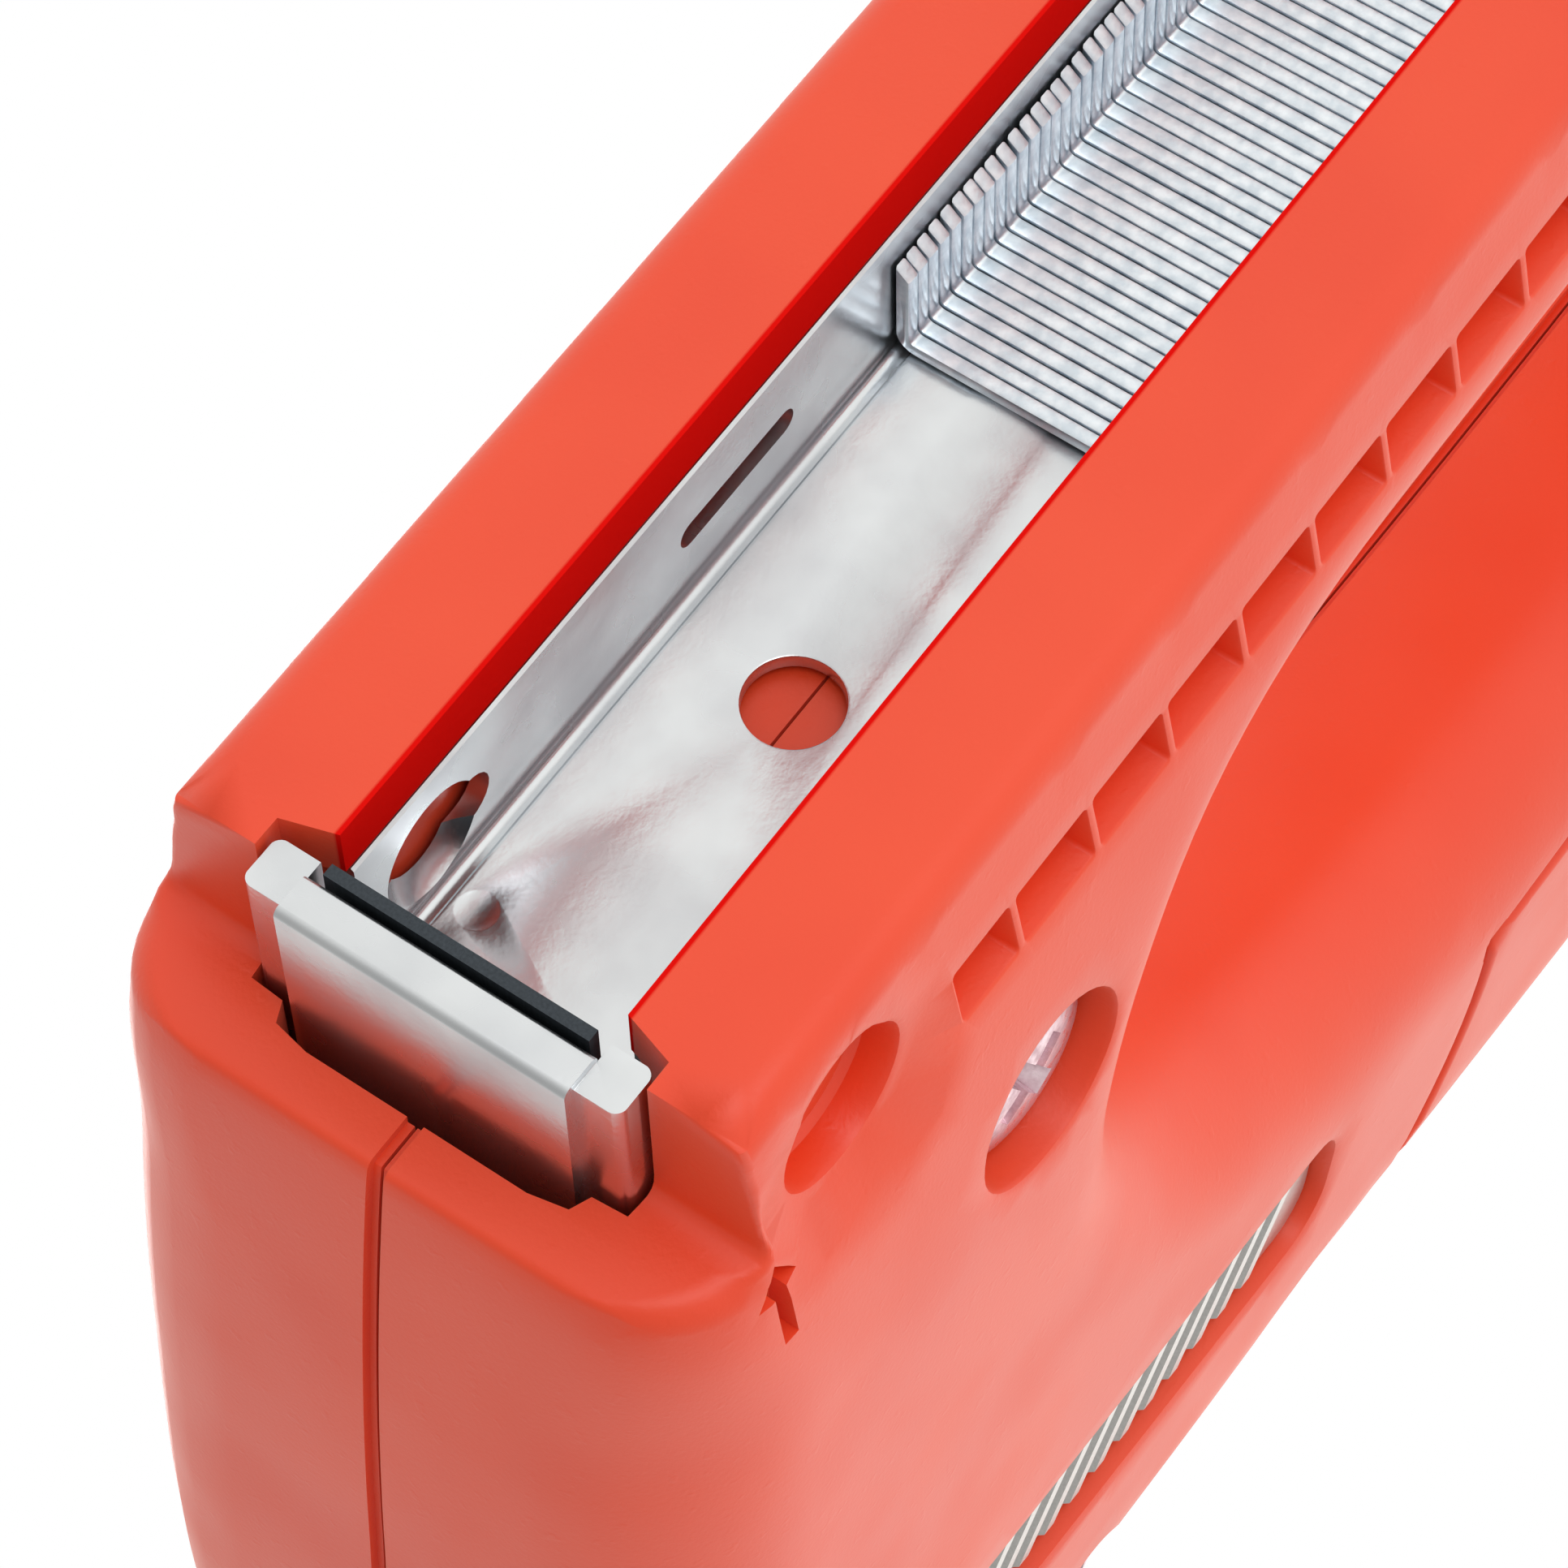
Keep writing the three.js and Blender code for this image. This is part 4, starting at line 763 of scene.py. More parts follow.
def flat_mesh(loops, loose, outer, holes):
    """Triangles between loops and loose points, inside outer and outside holes."""
    points, edges = [], []
    for loop in loops:
        start, count = len(points), len(loop)
        points += [Vector(p) for p in loop]
        edges += [(start + i, start + (i + 1) % count) for i in range(count)]
    points += [Vector(p) for p in loose]
    verts, _, faces, source, _, _ = geometry.delaunay_2d_cdt(points, edges, [], 0, 1e-6)
    verts = np.array([tuple(v) for v in verts])
    faces = np.array(faces)
    middle = verts[faces].mean(1)
    keep = inside(middle, outer)
    for hole in holes:
        keep &= ~inside(middle, hole)
    return verts, faces[keep], [s[0] if s else -1 for s in source]


def ring_points(loop, normal, radii):
    """Points off a loop at the steps of a quarter circle, each with its distance."""
    rows = []
    for angle in np.radians((20, 35, 48, 60, 70, 80, 90)):
        step = radii * (1 - math.cos(angle))
        rows.append(np.column_stack((loop + normal * step[:, None], step)))
    return np.vstack(rows)


def loose_points(outer, holes, pockets, outer_radii, spacing=1.7):
    """Rounding rows along every edge, then an even grid in what is left."""
    rows = [ring_points(outer, inward(outer), outer_radii)]
    rows += [ring_points(hole, -inward(hole), opening_radius(hole)) for hole in holes]
    rows = np.vstack(rows)

    def clear(points, margin):
        """Which points are in the part and more than a margin from all its edges."""
        keep = inside(points, outer)
        for hole in holes:
            keep &= ~inside(points, hole)
        for loop in (outer, *holes):
            keep &= distance(points, closed(loop)) > margin
        return keep

    rows = rows[clear(rows[:, :2], np.maximum(0.85 * rows[:, 2] - 1e-6, 0.03)), :2]
    low, high = outer.min(0), outer.max(0)
    gx, gz = np.meshgrid(np.arange(low[0], high[0], spacing), np.arange(low[1], high[1], spacing))
    gx[1::2] += spacing / 2
    grid = np.column_stack((gx.ravel(), gz.ravel()))
    grid = grid[clear(grid, 0.6)]
    gap = np.sqrt(((grid[:, None] - rows[None]) ** 2).sum(2).min(1))
    points = np.vstack((rows, grid[gap > 0.5 * spacing]))
    for loops in pockets:
        rim = loops[0][0]
        points = points[~inside(points, rim) & (distance(points, closed(rim)) > 0.3)]
    return points


square = rounded_box(0, 0, 10, 10, 1)
print("a 10 mm square gives", len(flat_mesh([square], [], square, [])[1]), "triangles")


# %% [markdown]
# A half shell is the side face, a wall straight down from its outline to the joint, and a flat
# back. A shallow groove is left round the joint, so that a dark line shows where the halves meet.
# What is hollow is cut out of the shell afterwards with booleans, because those cuts meet only
# flat faces. The same routine makes the handle cover, which is one piece from side to side.

# %% Shell from an outline


def shell(outer, holes, pockets, outer_radii, sharp, both_sides):
    """A closed mesh. The side faces -y; both_sides mirrors it instead of adding a flat back."""
    loops = [outer, *holes]
    for rows in pockets:
        loops += [row[0] for row in rows]
    free = loose_points(outer, holes, pockets, outer_radii)
    verts, faces, source = flat_mesh(loops, free, outer, holes)
    y = side_face(verts, sharp)
    where = sum(len(loop) for loop in (outer, *holes))
    face_of = {}
    for rows in pockets:
        for loop, kind, value in rows:
            for i in range(len(loop)):
                face_of[where + i] = (kind, value)
            where += len(loop)
    for i, s in enumerate(source):
        if s in face_of:
            kind, value = face_of[s]
            y[i] = y[i] - value if kind == "drop" else min(value, y[i])
    mesh = bmesh.new()
    side = [mesh.verts.new((x, -max(h, THINNEST), z)) for (x, z), h in zip(verts, y)]
    back_y = (lambda h: max(h, THINNEST)) if both_sides else (lambda h: -GROOVE / 2)
    rim = {}
    index = {s: i for i, s in enumerate(source) if s >= 0}
    start = 0
    for loop in (outer, *holes):
        ids = [index[start + i] for i in range(len(loop))]
        start += len(loop)
        for i in ids:
            rim[i] = mesh.verts.new((verts[i][0], back_y(y[i]), verts[i][1]))
        for a, b in zip(ids, ids[1:] + ids[:1]):
            mesh.faces.new((side[a], side[b], rim[b], rim[a]))
    for a, b, c in faces:
        mesh.faces.new((side[a], side[b], side[c]))
    if both_sides:
        back = [rim.get(i) or mesh.verts.new((x, h, z)) for i, ((x, z), h) in enumerate(zip(verts, y))]
        for a, b, c in faces:
            mesh.faces.new((back[a], back[c], back[b]))
    else:
        inner = [grown(outer, -GROOVE_DEPTH), *(grown(hole, GROOVE_DEPTH) for hole in holes)]
        _, flat_faces, flat_source = flat_mesh(inner, [], inner[0], inner[1:])
        ledge = [mesh.verts.new((x, -GROOVE / 2, z)) for loop in inner for x, z in loop]
        joint = [mesh.verts.new((x, -JOINT, z)) for loop in inner for x, z in loop]
        start = 0
        for loop in inner:
            for i in range(len(loop)):
                a, b = start + i, start + (i + 1) % len(loop)
                first, second = rim[index[a]], rim[index[b]]
                mesh.faces.new((first, second, ledge[b], ledge[a]))
                mesh.faces.new((ledge[a], ledge[b], joint[b], joint[a]))
            start += len(loop)
        for a, b, c in flat_faces:
            mesh.faces.new((joint[flat_source[a]], joint[flat_source[c]], joint[flat_source[b]]))
    bmesh.ops.recalc_face_normals(mesh, faces=mesh.faces[:])
    return mesh


# %% [markdown]
# Cutters are plain prisms. They only have to leave the right hollow behind.

# %% Prisms, booleans and finished objects


def loft(mesh, first, second):
    """Faces from one ring of vertices to another, closed at both ends."""
    mesh.faces.new(first)
    mesh.faces.new(second[::-1])
    for i in range(len(first)):
        j = (i + 1) % len(first)
        mesh.faces.new((first[i], second[i], second[j], first[j]))


PRISM_AXES = {"x": (2, 0, 1), "y": (0, 2, 1), "z": (0, 1, 2)}


def prism(outline, axis, low, high):
    """A prism. outline is in the two axes that are left, in x, y, z order."""
    mesh = bmesh.new()
    order = PRISM_AXES[axis]
    rings = [[mesh.verts.new([(u, v, end)[k] for k in order]) for u, v in outline] for end in (low, high)]
    loft(mesh, *rings)
    bmesh.ops.recalc_face_normals(mesh, faces=mesh.faces[:])
    return mesh


def box(x1, x2, y1, y2, z1, z2):
    return prism([(x1, y1), (x2, y1), (x2, y2), (x1, y2)], "z", z1, z2)


def to_object(mesh, name):
    data = bpy.data.meshes.new(name)
    mesh.to_mesh(data)
    mesh.free()
    return placed(name, data)


def settle(made):
    """Applies an object's modifiers."""
    bpy.context.view_layer.update()
    graph = bpy.context.evaluated_depsgraph_get()
    data = bpy.data.meshes.new_from_object(made.evaluated_get(graph))
    made.modifiers.clear()
    made.data = data


def boolean(made, cutter, operation="DIFFERENCE"):
    tool = to_object(cutter, "cutter")
    modifier = made.modifiers.new("cut", "BOOLEAN")
    modifier.operation = operation
    modifier.solver = "EXACT"
    modifier.object = tool
    settle(made)
    bpy.data.objects.remove(tool)


def cut_box(made, x1, x2, half, z1, z2):
    """Cuts a box that is as wide to the left as to the right."""
    boolean(made, box(x1, x2, -half, half, z1, z2))


def cut_across(made, outline, half):
    """Cuts a side-view outline, as far to the left as to the right."""
    boolean(made, prism(outline, "y", -half, half))


def finished(made, name, body, material, replaces=()):
    """Smooths a piece by angle, moves it into the frame and hands it to its body."""
    made.name = name
    made.data.name = name
    made.data.transform(TO_FRAME)
    made.data.materials.clear()
    made.data.materials.append(material)
    made.data.shade_smooth()
    made.data.set_sharp_from_angle(angle=SMOOTH_ANGLE)
    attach(made, body)
    if replaces:
        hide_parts(*replaces)
    print(f"{name}: {len(made.data.polygons)} faces")


# %% [markdown]
# ## Body halves
# The outline of a half is the gun's, less the handle above the dome and the grip. The rails end
# in front with a hollow fillet up to the lip, which the nose plate stands behind.

# %% Body outline


def body_outline():
    fillet = 1.5
    lip_edge = 0.5
    top = nose_curve()
    top = top[(top[:, 0] > PIVOT[0] + 0.3) & (top[:, 1] > LIP_Z + lip_edge)]
    rear = handle_curve()
    rear = rear[(rear[:, 0] < TAIL_X + 1) & (rear[:, 1] < grip_top_z(rear[:, 0]) - 0.5)]
    rail_end = (RAIL_FRONT_X, LIP_Z - fillet)
    corner = (RAIL_FRONT_X, LIP_Z)
    ledge = (RAIL_FRONT_X + fillet, LIP_Z)
    dome_end = math.degrees(math.asin((GRIP_FRONT_Z - PIVOT[1]) / DOME_RADIUS))
    dome = arc(PIVOT, DOME_RADIUS, 90, 180 - dome_end)
    pieces = [
        (line((TAIL_X, 0), (RAIL_FRONT_X, 0), 2.2), RAIL_EDGE),
        (line((RAIL_FRONT_X, 0), rail_end, 0.8), CUT_EDGE),
        (bezier(rail_end, corner, corner, ledge, 0.5), CUT_EDGE),
        (line(ledge, (LIP_FRONT_X - lip_edge, LIP_Z), 0.6), LIP_EDGE),
        (bezier((LIP_FRONT_X - lip_edge, LIP_Z), (LIP_FRONT_X - 0.15, LIP_Z),
                (LIP_FRONT_X, LIP_Z + 0.15), (LIP_FRONT_X + 0.08, LIP_Z + lip_edge), 0.15), LIP_EDGE),
        (top, None),
        (dome, CUT_EDGE),
        (line((PIVOT[0] - DOME_RADIUS, GRIP_FRONT_Z), (TAIL_X - 5.9, grip_top_z(TAIL_X - 5.9))), CUT_EDGE),
        (rear, None),
        (line((TAIL_X, 16), (TAIL_X, 0)), None),
    ]
    outline = np.vstack([p for p, _ in pieces])
    radii = np.concatenate([nose_radius(p) if r is None else np.full(len(p), r) for p, r in pieces])
    rail_path = np.vstack([p for p, _ in pieces[1:3]])
    lip_path = np.vstack([p for p, _ in pieces[3:5]])
    grip_path = np.vstack((dome, pieces[7][0]))
    return outline, radii, [(rail_path, CUT_EDGE), (lip_path, LIP_EDGE), (grip_path, CUT_EDGE)]


BODY_OUTLINE, BODY_RADII, BODY_SHARP = body_outline()
print(len(BODY_OUTLINE), "points on the body's outline")

# %% [markdown]
# What is hollow inside: the mouth behind the lip, the magazine's way along the base, the driver's
# chamber, the room for the lever, and the slots for the latch hooks at the tail.

# %% Hollows
CHANNEL_OUTER = 6.5
CHANNEL_TOP_Z = 10.05
CHANNEL_EDGE_Z = 2.6
CHANNEL_INNER = 5.75
CHANNEL_FRONT_X = -1.1
MOUTH = [(-1.25, 5.85), (-0.6, 7.95), (1.0, 7.95), (2.0, 7.85), (2.1, 6.45), (2.9, 6.1), (3.2, 4.6)]
MOUTH_TOP_Z = 24.2
CAVITY_TOP_Z = 67.5
CHAMBER_REAR_X = -16
CHAMBER_HALF = 9.3
ARM_ROOM = [(-14, 48.8), (-34, 52.8), (-52, 56.8), (-55, 66), (-44.2, 81)]
ARM_FRONT_X = -14
ARM_HALF = 7.2
HOOK_FRONT_X, HOOK_BARB_X = -119.2, -122.5
HOOK_HALF, HOOK_BARB_HALF = 9.1, 10.4
PIVOT_PIN_RADIUS, PIVOT_PIN_HALF = 2, 11.3
TAIL_ROOM = (-121.5, -108.5, 9, 26, 46)     # the hollow of the tail: x, half-width, z
FAR_BACK = -150
UNDER = -1                                  # cutters start this far below the rails
ARROW_FLOOR = 12.2
FAR_OUT = 20


def cut_hollows(made):
    half = CHANNEL_OUTER + FIT
    boolean(made, prism(MOUTH + [(x, -y) for x, y in MOUTH[::-1]], "z", UNDER, MOUTH_TOP_Z + 1))
    cut_box(made, FAR_BACK, CHANNEL_FRONT_X, CHANNEL_INNER + 0.1, UNDER, CHANNEL_EDGE_Z + 0.1)
    cut_box(made, FAR_BACK, CHANNEL_FRONT_X, half, CHANNEL_EDGE_Z - 0.2, CHANNEL_TOP_Z + FIT)
    cut_box(made, -2.3, 0, half + 0.1, CHANNEL_EDGE_Z - 0.1, MOUTH_TOP_Z + 1)
    chamber = [(CHAMBER_REAR_X, MOUTH_TOP_Z), (6.3, MOUTH_TOP_Z), (6.7, 32), (6.9, 50), (6.7, 62),
               (4.9, CAVITY_TOP_Z), (CHAMBER_REAR_X, CAVITY_TOP_Z)]
    cut_across(made, chamber, CHAMBER_HALF)
    cut_across(made, [*ARM_ROOM, (-33, CAVITY_TOP_Z), (ARM_FRONT_X, CAVITY_TOP_Z)], ARM_HALF)
    latch_low, latch_high = from_frame("latch_button_left")
    hook_z = (latch_low.z + 0.7, latch_high.z - 0.7)
    cut_box(made, FAR_BACK, HOOK_FRONT_X, HOOK_HALF, *hook_z)
    cut_box(made, HOOK_BARB_X, HOOK_FRONT_X, HOOK_BARB_HALF, *hook_z)
    cut_across(made, circle(*PIVOT, PIVOT_PIN_RADIUS + FIT, 24), PIVOT_PIN_HALF)
    cut_box(made, *TAIL_ROOM)
    for x, z, head, _ in SCREW_PLACES.values():
        bore = circle(x, z, head * SCREW_SHANK / SCREW_HEAD + FIT, 20)
        boolean(made, prism(bore, "y", -11, CHAMBER_HALF))


def soften(made, chosen, width):
    """Rounds the edges that a test picks, where a boolean has left them sharp."""
    mesh = bmesh.new()
    mesh.from_mesh(made.data)
    flat = [e for e in mesh.edges if len(e.link_faces) == 2 and e.calc_face_angle(0) < 0.001]
    bmesh.ops.dissolve_edges(mesh, edges=flat, use_verts=True, use_face_split=False)
    picked = [e for e in mesh.edges if len(e.link_faces) == 2 and e.calc_face_angle(0) > 0.6
              and chosen((e.verts[0].co + e.verts[1].co) / 2, e)]
    bmesh.ops.bevel(mesh, geom=picked, offset=width, segments=2, profile=0.5, affect="EDGES",
                    clamp_overlap=True)
    mesh.to_mesh(made.data)
    mesh.free()


def body_half(side):
    right = side == "right"
    mesh = shell(BODY_OUTLINE, [OPENING], side_pockets(right), BODY_RADII, BODY_SHARP, False)
    if not right:
        bmesh.ops.scale(mesh, vec=(1, -1, 1), verts=mesh.verts[:])
        bmesh.ops.reverse_faces(mesh, faces=mesh.faces[:])
    name = "body_shell_" + side
    made = to_object(mesh, name)
    cut_hollows(made)
    for near, far in ((-FAR_OUT, -ARROW_FLOOR), (ARROW_FLOOR, FAR_OUT)):
        boolean(made, prism(arrow_loop(), "y", near, far))
    finished(made, name, "gun_body", ABS, ["body_half_" + side])


body_half("right")
body_half("left")

# %% [markdown]
# ## Handle cover
# The cover is one moulding from side to side. It carries on the gun's big roundings, and its
# lower edge follows the dome and the grip with a gap that lets it swing.

# %% Handle cover
HOOD_ANGLE = 112
COVER_RADIUS = DOME_RADIUS + COVER_GAP


def cover_outline():
    top = handle_curve()
    hood = math.radians(HOOD_ANGLE)
    ray = np.array((math.cos(hood), math.sin(hood)))
    past_hood = (top - np.array(PIVOT)) @ np.array((-ray[1], ray[0])) > 0.3
    over_grip = top[:, 1] > grip_top_z(top[:, 0], COVER_GAP) + 0.4
    top = top[past_hood & over_grip]
    low = math.degrees(math.asin((GRIP_FRONT_Z + COVER_GAP - PIVOT[1]) / COVER_RADIUS))
    dome = arc(PIVOT, COVER_RADIUS, 180 - low, HOOD_ANGLE)
    rear_x = TAIL_X - 7.2
    grip = line((rear_x, grip_top_z(rear_x, COVER_GAP)), dome[0])
    hood_end = np.array(PIVOT) + COVER_RADIUS * ray
    front = line(hood_end, hood_end + ray * 0.9, 0.3)
    outline = np.vstack((top, grip, dome, front))
    radii = np.concatenate([nose_radius(top), np.full(len(grip) + len(dome) + len(front), CUT_EDGE)])
    return outline, radii, [(np.vstack((grip, dome, hood_end[None])), CUT_EDGE)]


def handle_cover():
    outline, radii, sharp = cover_outline()
    made = to_object(shell(outline, [], [], radii, sharp, True), "cover_shell")
    hollow = [(-52.5, 50), (-52.5, 71.5), (-70, 74.6), (-90, HANDLE_TOP_Z - 3.6),
              (-108, HANDLE_TOP_Z - 5), (TAIL_X + 5, 70), (TAIL_X + 3, 50)]
    cut_across(made, hollow, 9.5)
    cut_box(made, -53, -44, 6.7, 50, 71.3)
    for node in ("handle_pin_front", "handle_pin_rear"):
        low, high = from_frame(node)
        x, z, radius = round_about_y(node)
        boolean(made, prism(circle(x, z, radius + FIT, 20), "y", low.y - FIT, high.y + FIT))
    finished(made, "cover_shell", "handle", ABS, ["handle_cover"])


handle_cover()

# %% [markdown]
# ## Folded steel
# Sheet is never sharp at a fold: inside a fold of 0.75 mm sheet there is a radius of about half
# the thickness, and outside it the thickness more. A U section is drawn as one path with those
# arcs, and drawn out along the gun.

# %% U sections


SHEET_RIM = 0.12     # the break on the sheet's cut edges


def u_section(inner, outer, open_z, web_inner_z, web_outer_z, inner_radius):
    """The (y, z) outline of a folded U. It opens towards open_z."""
    up = 1 if web_outer_z > open_z else -1
    outer_radius = inner_radius + outer - inner

    def corner(side, y, z, radius, reverse):
        points = [(side * (y - radius + radius * cos), z - up * (radius - radius * sin))
                  for cos, sin in quarter_turn(6)]
        return points[::-1] if reverse else points

    rim, rim_z = SHEET_RIM, open_z + up * SHEET_RIM
    return [
        (-outer, rim_z), *corner(-1, outer, web_outer_z, outer_radius, False),
        *corner(1, outer, web_outer_z, outer_radius, True), (outer, rim_z), (outer - rim, open_z),
        (inner + rim, open_z), (inner, rim_z), *corner(1, inner, web_inner_z, inner_radius, False),
        *corner(-1, inner, web_inner_z, inner_radius, True), (-inner, rim_z),
        (-inner - rim, open_z), (-outer + rim, open_z),
    ]


def edge_is_round_hole(centre, radius, slack=0.08):
    def test(middle, edge):
        return abs(math.hypot(middle.x - centre[0], middle.y - centre[1]) - radius) < slack
    return test


WEB_HOLE = (-18.4, 0)
WEB_HOLE_RADIUS = 1.9
CHANNEL_WEB_Z = 9.3
WALL_SLOTS = ((-8.6, 5.2, -3.3, 7.6, 1.19), (-26.6, 5.4, -19.8, 6.6, 0.59))    # x, z, x, z, radius
CREASE_Y, CREASE_HALF, CREASE_DEPTH = 5.1, 0.08, 0.08
DIMPLE, DIMPLE_RADIUS, DIMPLE_DEPTH = (-5.4, 4.1), 3, 0.12


def magazine_channel():
    low, high = from_frame("magazine_channel")
    section = u_section(CHANNEL_INNER, CHANNEL_OUTER, low.z, CHANNEL_WEB_Z, high.z, 0.45)
    made = to_object(prism(section, "x", low.x, high.x), "channel")
    boolean(made, prism(circle(*WEB_HOLE, WEB_HOLE_RADIUS, 48), "z", 5, 12))
    for outline in WALL_SLOTS:
        cut_across(made, rounded_box(*outline), 9)
    for side in (-1, 1):
        crease = [(side * CREASE_Y, CHANNEL_WEB_Z + CREASE_DEPTH),
                  (side * (CREASE_Y - CREASE_HALF), CHANNEL_WEB_Z - 0.1),
                  (side * (CREASE_Y + CREASE_HALF), CHANNEL_WEB_Z - 0.1)]
        boolean(made, prism(crease, "x", low.x - 1, high.x + 1))
    dimple = bmesh.new()
    middle = Matrix.Translation((*DIMPLE, CHANNEL_WEB_Z + DIMPLE_DEPTH - DIMPLE_RADIUS))
    bmesh.ops.create_uvsphere(dimple, u_segments=48, v_segments=48, radius=DIMPLE_RADIUS, matrix=middle)
    boolean(made, dimple)
    soften(made, edge_is_round_hole(WEB_HOLE, WEB_HOLE_RADIUS), 0.1)
    finished(made, "folded_channel", "gun_body", BRIGHT_STEEL, ["magazine_channel"])


magazine_channel()

# %% [markdown]
# The nose plate is the same sheet hemmed over, so its striking edge is a full round. Its ears
# stand in slots of the moulding, with rounded ends, and reach back past the blade's ends.

# %% Nose plate
PLATE_BACK, PLATE_FRONT, PLATE_HALF, PLATE_TOP_Z = 0.5, 2.3, 5.9, 24.0
PLATE_HEM = 0.35                            # radius of the folded edge
EAR_BACK, EAR_FRONT, EAR_HALF, EAR_RADIUS = -0.25, 1.8, 7.7, 0.45
EAR_ROOT = (0.6, 5)                         # where an ear starts inside the plate, x and y
EAR_Z = (0.4, 23.7)


def nose_plate():
    section = [(PLATE_BACK, PLATE_TOP_Z), (PLATE_FRONT, PLATE_TOP_Z)]
    for corner, start in ((PLATE_FRONT - PLATE_HEM, 0), (PLATE_BACK + PLATE_HEM, 90)):
        for step in range(5):
            angle = math.radians(start + 90 * step / 4)
            section.append((corner + PLATE_HEM * math.cos(angle), PLATE_HEM - PLATE_HEM * math.sin(angle)))
    made = to_object(prism(section, "y", -PLATE_HALF, PLATE_HALF), "nose_plate_made")
    root_x, root_y = EAR_ROOT
    round_y = EAR_HALF - EAR_RADIUS
    plan = [(root_x, root_y), (root_x, PLATE_HALF), (EAR_BACK, PLATE_HALF), (EAR_BACK, round_y)]
    turn = quarter_turn(6)
    plan += [(EAR_BACK + EAR_RADIUS - EAR_RADIUS * cos, round_y + EAR_RADIUS * sin) for cos, sin in turn[1:]]
    plan += [(EAR_FRONT - EAR_RADIUS + EAR_RADIUS * cos, round_y + EAR_RADIUS * sin)
             for cos, sin in turn[::-1]]
    plan.append((EAR_FRONT, root_y))
    for side in (-1, 1):
        boolean(made, prism([(x, side * y) for x, y in plan], "z", *EAR_Z), "UNION")

    def low_end(middle, edge):
        return middle.z < 1.2 and edge.calc_length() > 0.15 and abs(middle.y) > 5.5

    soften(made, low_end, 0.3)
    finished(made, "hemmed_nose_plate", "gun_body", BRIGHT_STEEL, ["nose_plate"])


nose_plate()

# %% [markdown]
# ## Staples
# Each staple is its own bent wire: a crown with rounded corners and two legs with chisel points.
# The glued stick isn't perfect, so each one sits a few hundredths of a millimetre off its
# neighbours, and the dark lines between them vary.

# %% Stick of staples
STAPLE_PITCH = 0.7
STAPLE_WIRE = 0.6
STAPLE_BEND = 0.85       # outside radius at the crown's ends
STAPLE_CHISEL = 0.55     # length of the point
STAPLE_RIM = 0.13        # the wire's own rounded edges


def staple_outline(half, top, bottom):
    small = STAPLE_BEND - STAPLE_WIRE
    y, z = half - STAPLE_BEND, top - STAPLE_BEND
    outer = [(y + STAPLE_BEND * cos, z + STAPLE_BEND * sin) for cos, sin in quarter_turn(5)]
    inner = [(y + small * cos, z + small * sin) for cos, sin in quarter_turn(5)]
    tip, heel = (half, bottom), (half - STAPLE_WIRE, bottom + STAPLE_CHISEL)
    right = [heel, tip, *outer]
    path = right + [(-y, z) for y, z in right[::-1]]
    return path + [(-y, z) for y, z in inner] + inner[::-1]


def staple_stick():
    low, high = from_frame("staple_strip")
    half, wide = high.y, STAPLE_PITCH * 0.93 / 2
    one = prism(staple_outline(half, high.z, low.z), "x", -wide, wide)
    rims = [e for e in one.edges if abs(e.verts[0].co.x - e.verts[1].co.x) < 1e-6]
    bmesh.ops.bevel(one, geom=rims, offset=STAPLE_RIM, segments=2, profile=0.5, affect="EDGES",
                    clamp_overlap=True)
    stick = bmesh.new()
    count = round((high.x - low.x) / STAPLE_PITCH)
    shape = bpy.data.meshes.new("one_staple")
    one.to_mesh(shape)
    one.free()
    for i in range(count):
        before = len(stick.verts)
        stick.from_mesh(shape)
        stick.verts.ensure_lookup_table()
        x = high.x - STAPLE_PITCH * (i + 0.5)
        shift = Vector((x, 0.035 * math.sin(12.9898 * i), -0.03 + 0.03 * math.sin(7.233 * i + 1)))
        lean = 0.012 * math.sin(5.3 * i + 0.4)
        for vert in stick.verts[before:]:
            vert.co = vert.co + shift + Vector((lean * (vert.co.z - high.z), 0, 0))
    finished(to_object(stick, "stick"), "staple_stick", "staple_strip", STAPLE, ["staple_strip"])


staple_stick()

# %% [markdown]
# ## Screws
# The pan-head screws are turned shapes with a cross recess driven into the head. The recess
# narrows as it goes down, as the driver does.

# %% Pan-head screws


def turned(profile_points, axis_x, axis_z, sides=40):
    """A closed solid turned about an axis along y. The profile runs from tip to head."""
    mesh = bmesh.new()
    rings = []
    for radius, y in profile_points:
        ring = []
        for i in range(sides if radius > 0 else 1):
            angle = 2 * math.pi * i / sides
            place = (axis_x + radius * math.cos(angle), y, axis_z + radius * math.sin(angle))
            ring.append(mesh.verts.new(place))
        rings.append(ring)
    for a, b in zip(rings, rings[1:]):
        for i in range(sides):
            j = (i + 1) % sides
            corners = [a[i % len(a)], a[j % len(a)], b[j % len(b)], b[i % len(b)]]
            mesh.faces.new(list(dict.fromkeys(corners)))
    bmesh.ops.recalc_face_normals(mesh, faces=mesh.faces[:])
    return mesh


def cross_recess(x, z, top, size, turn):
    """Two crossed wedges that narrow as they go in, for cutting."""
    wedges = []
    depth = 1.5 * size
    for quarter in (0, 1):
        angle = turn + quarter * math.pi / 2
        along = Vector((math.cos(angle), 0, math.sin(angle)))
        across = Vector((-along.z, 0, along.x))
        mesh = bmesh.new()
        rings = []
        for y, long, wide in ((top - 0.6, 2.25, 0.62), (top + depth, 1.1, 0.3)):
            centre = Vector((x, y, z))
            rings.append([mesh.verts.new(centre + along * a * long * size + across * b * wide * size)
                          for a, b in ((1, 1), (-1, 1), (-1, -1), (1, -1))])
        loft(mesh, *rings)
        bmesh.ops.recalc_face_normals(mesh, faces=mesh.faces[:])
        wedges.append(mesh)
    return wedges


SCREW_TURNS = dict(zip(SCREWS, (0.5, 1.1, 0.2, 0.9)))     # how each cross is left turned


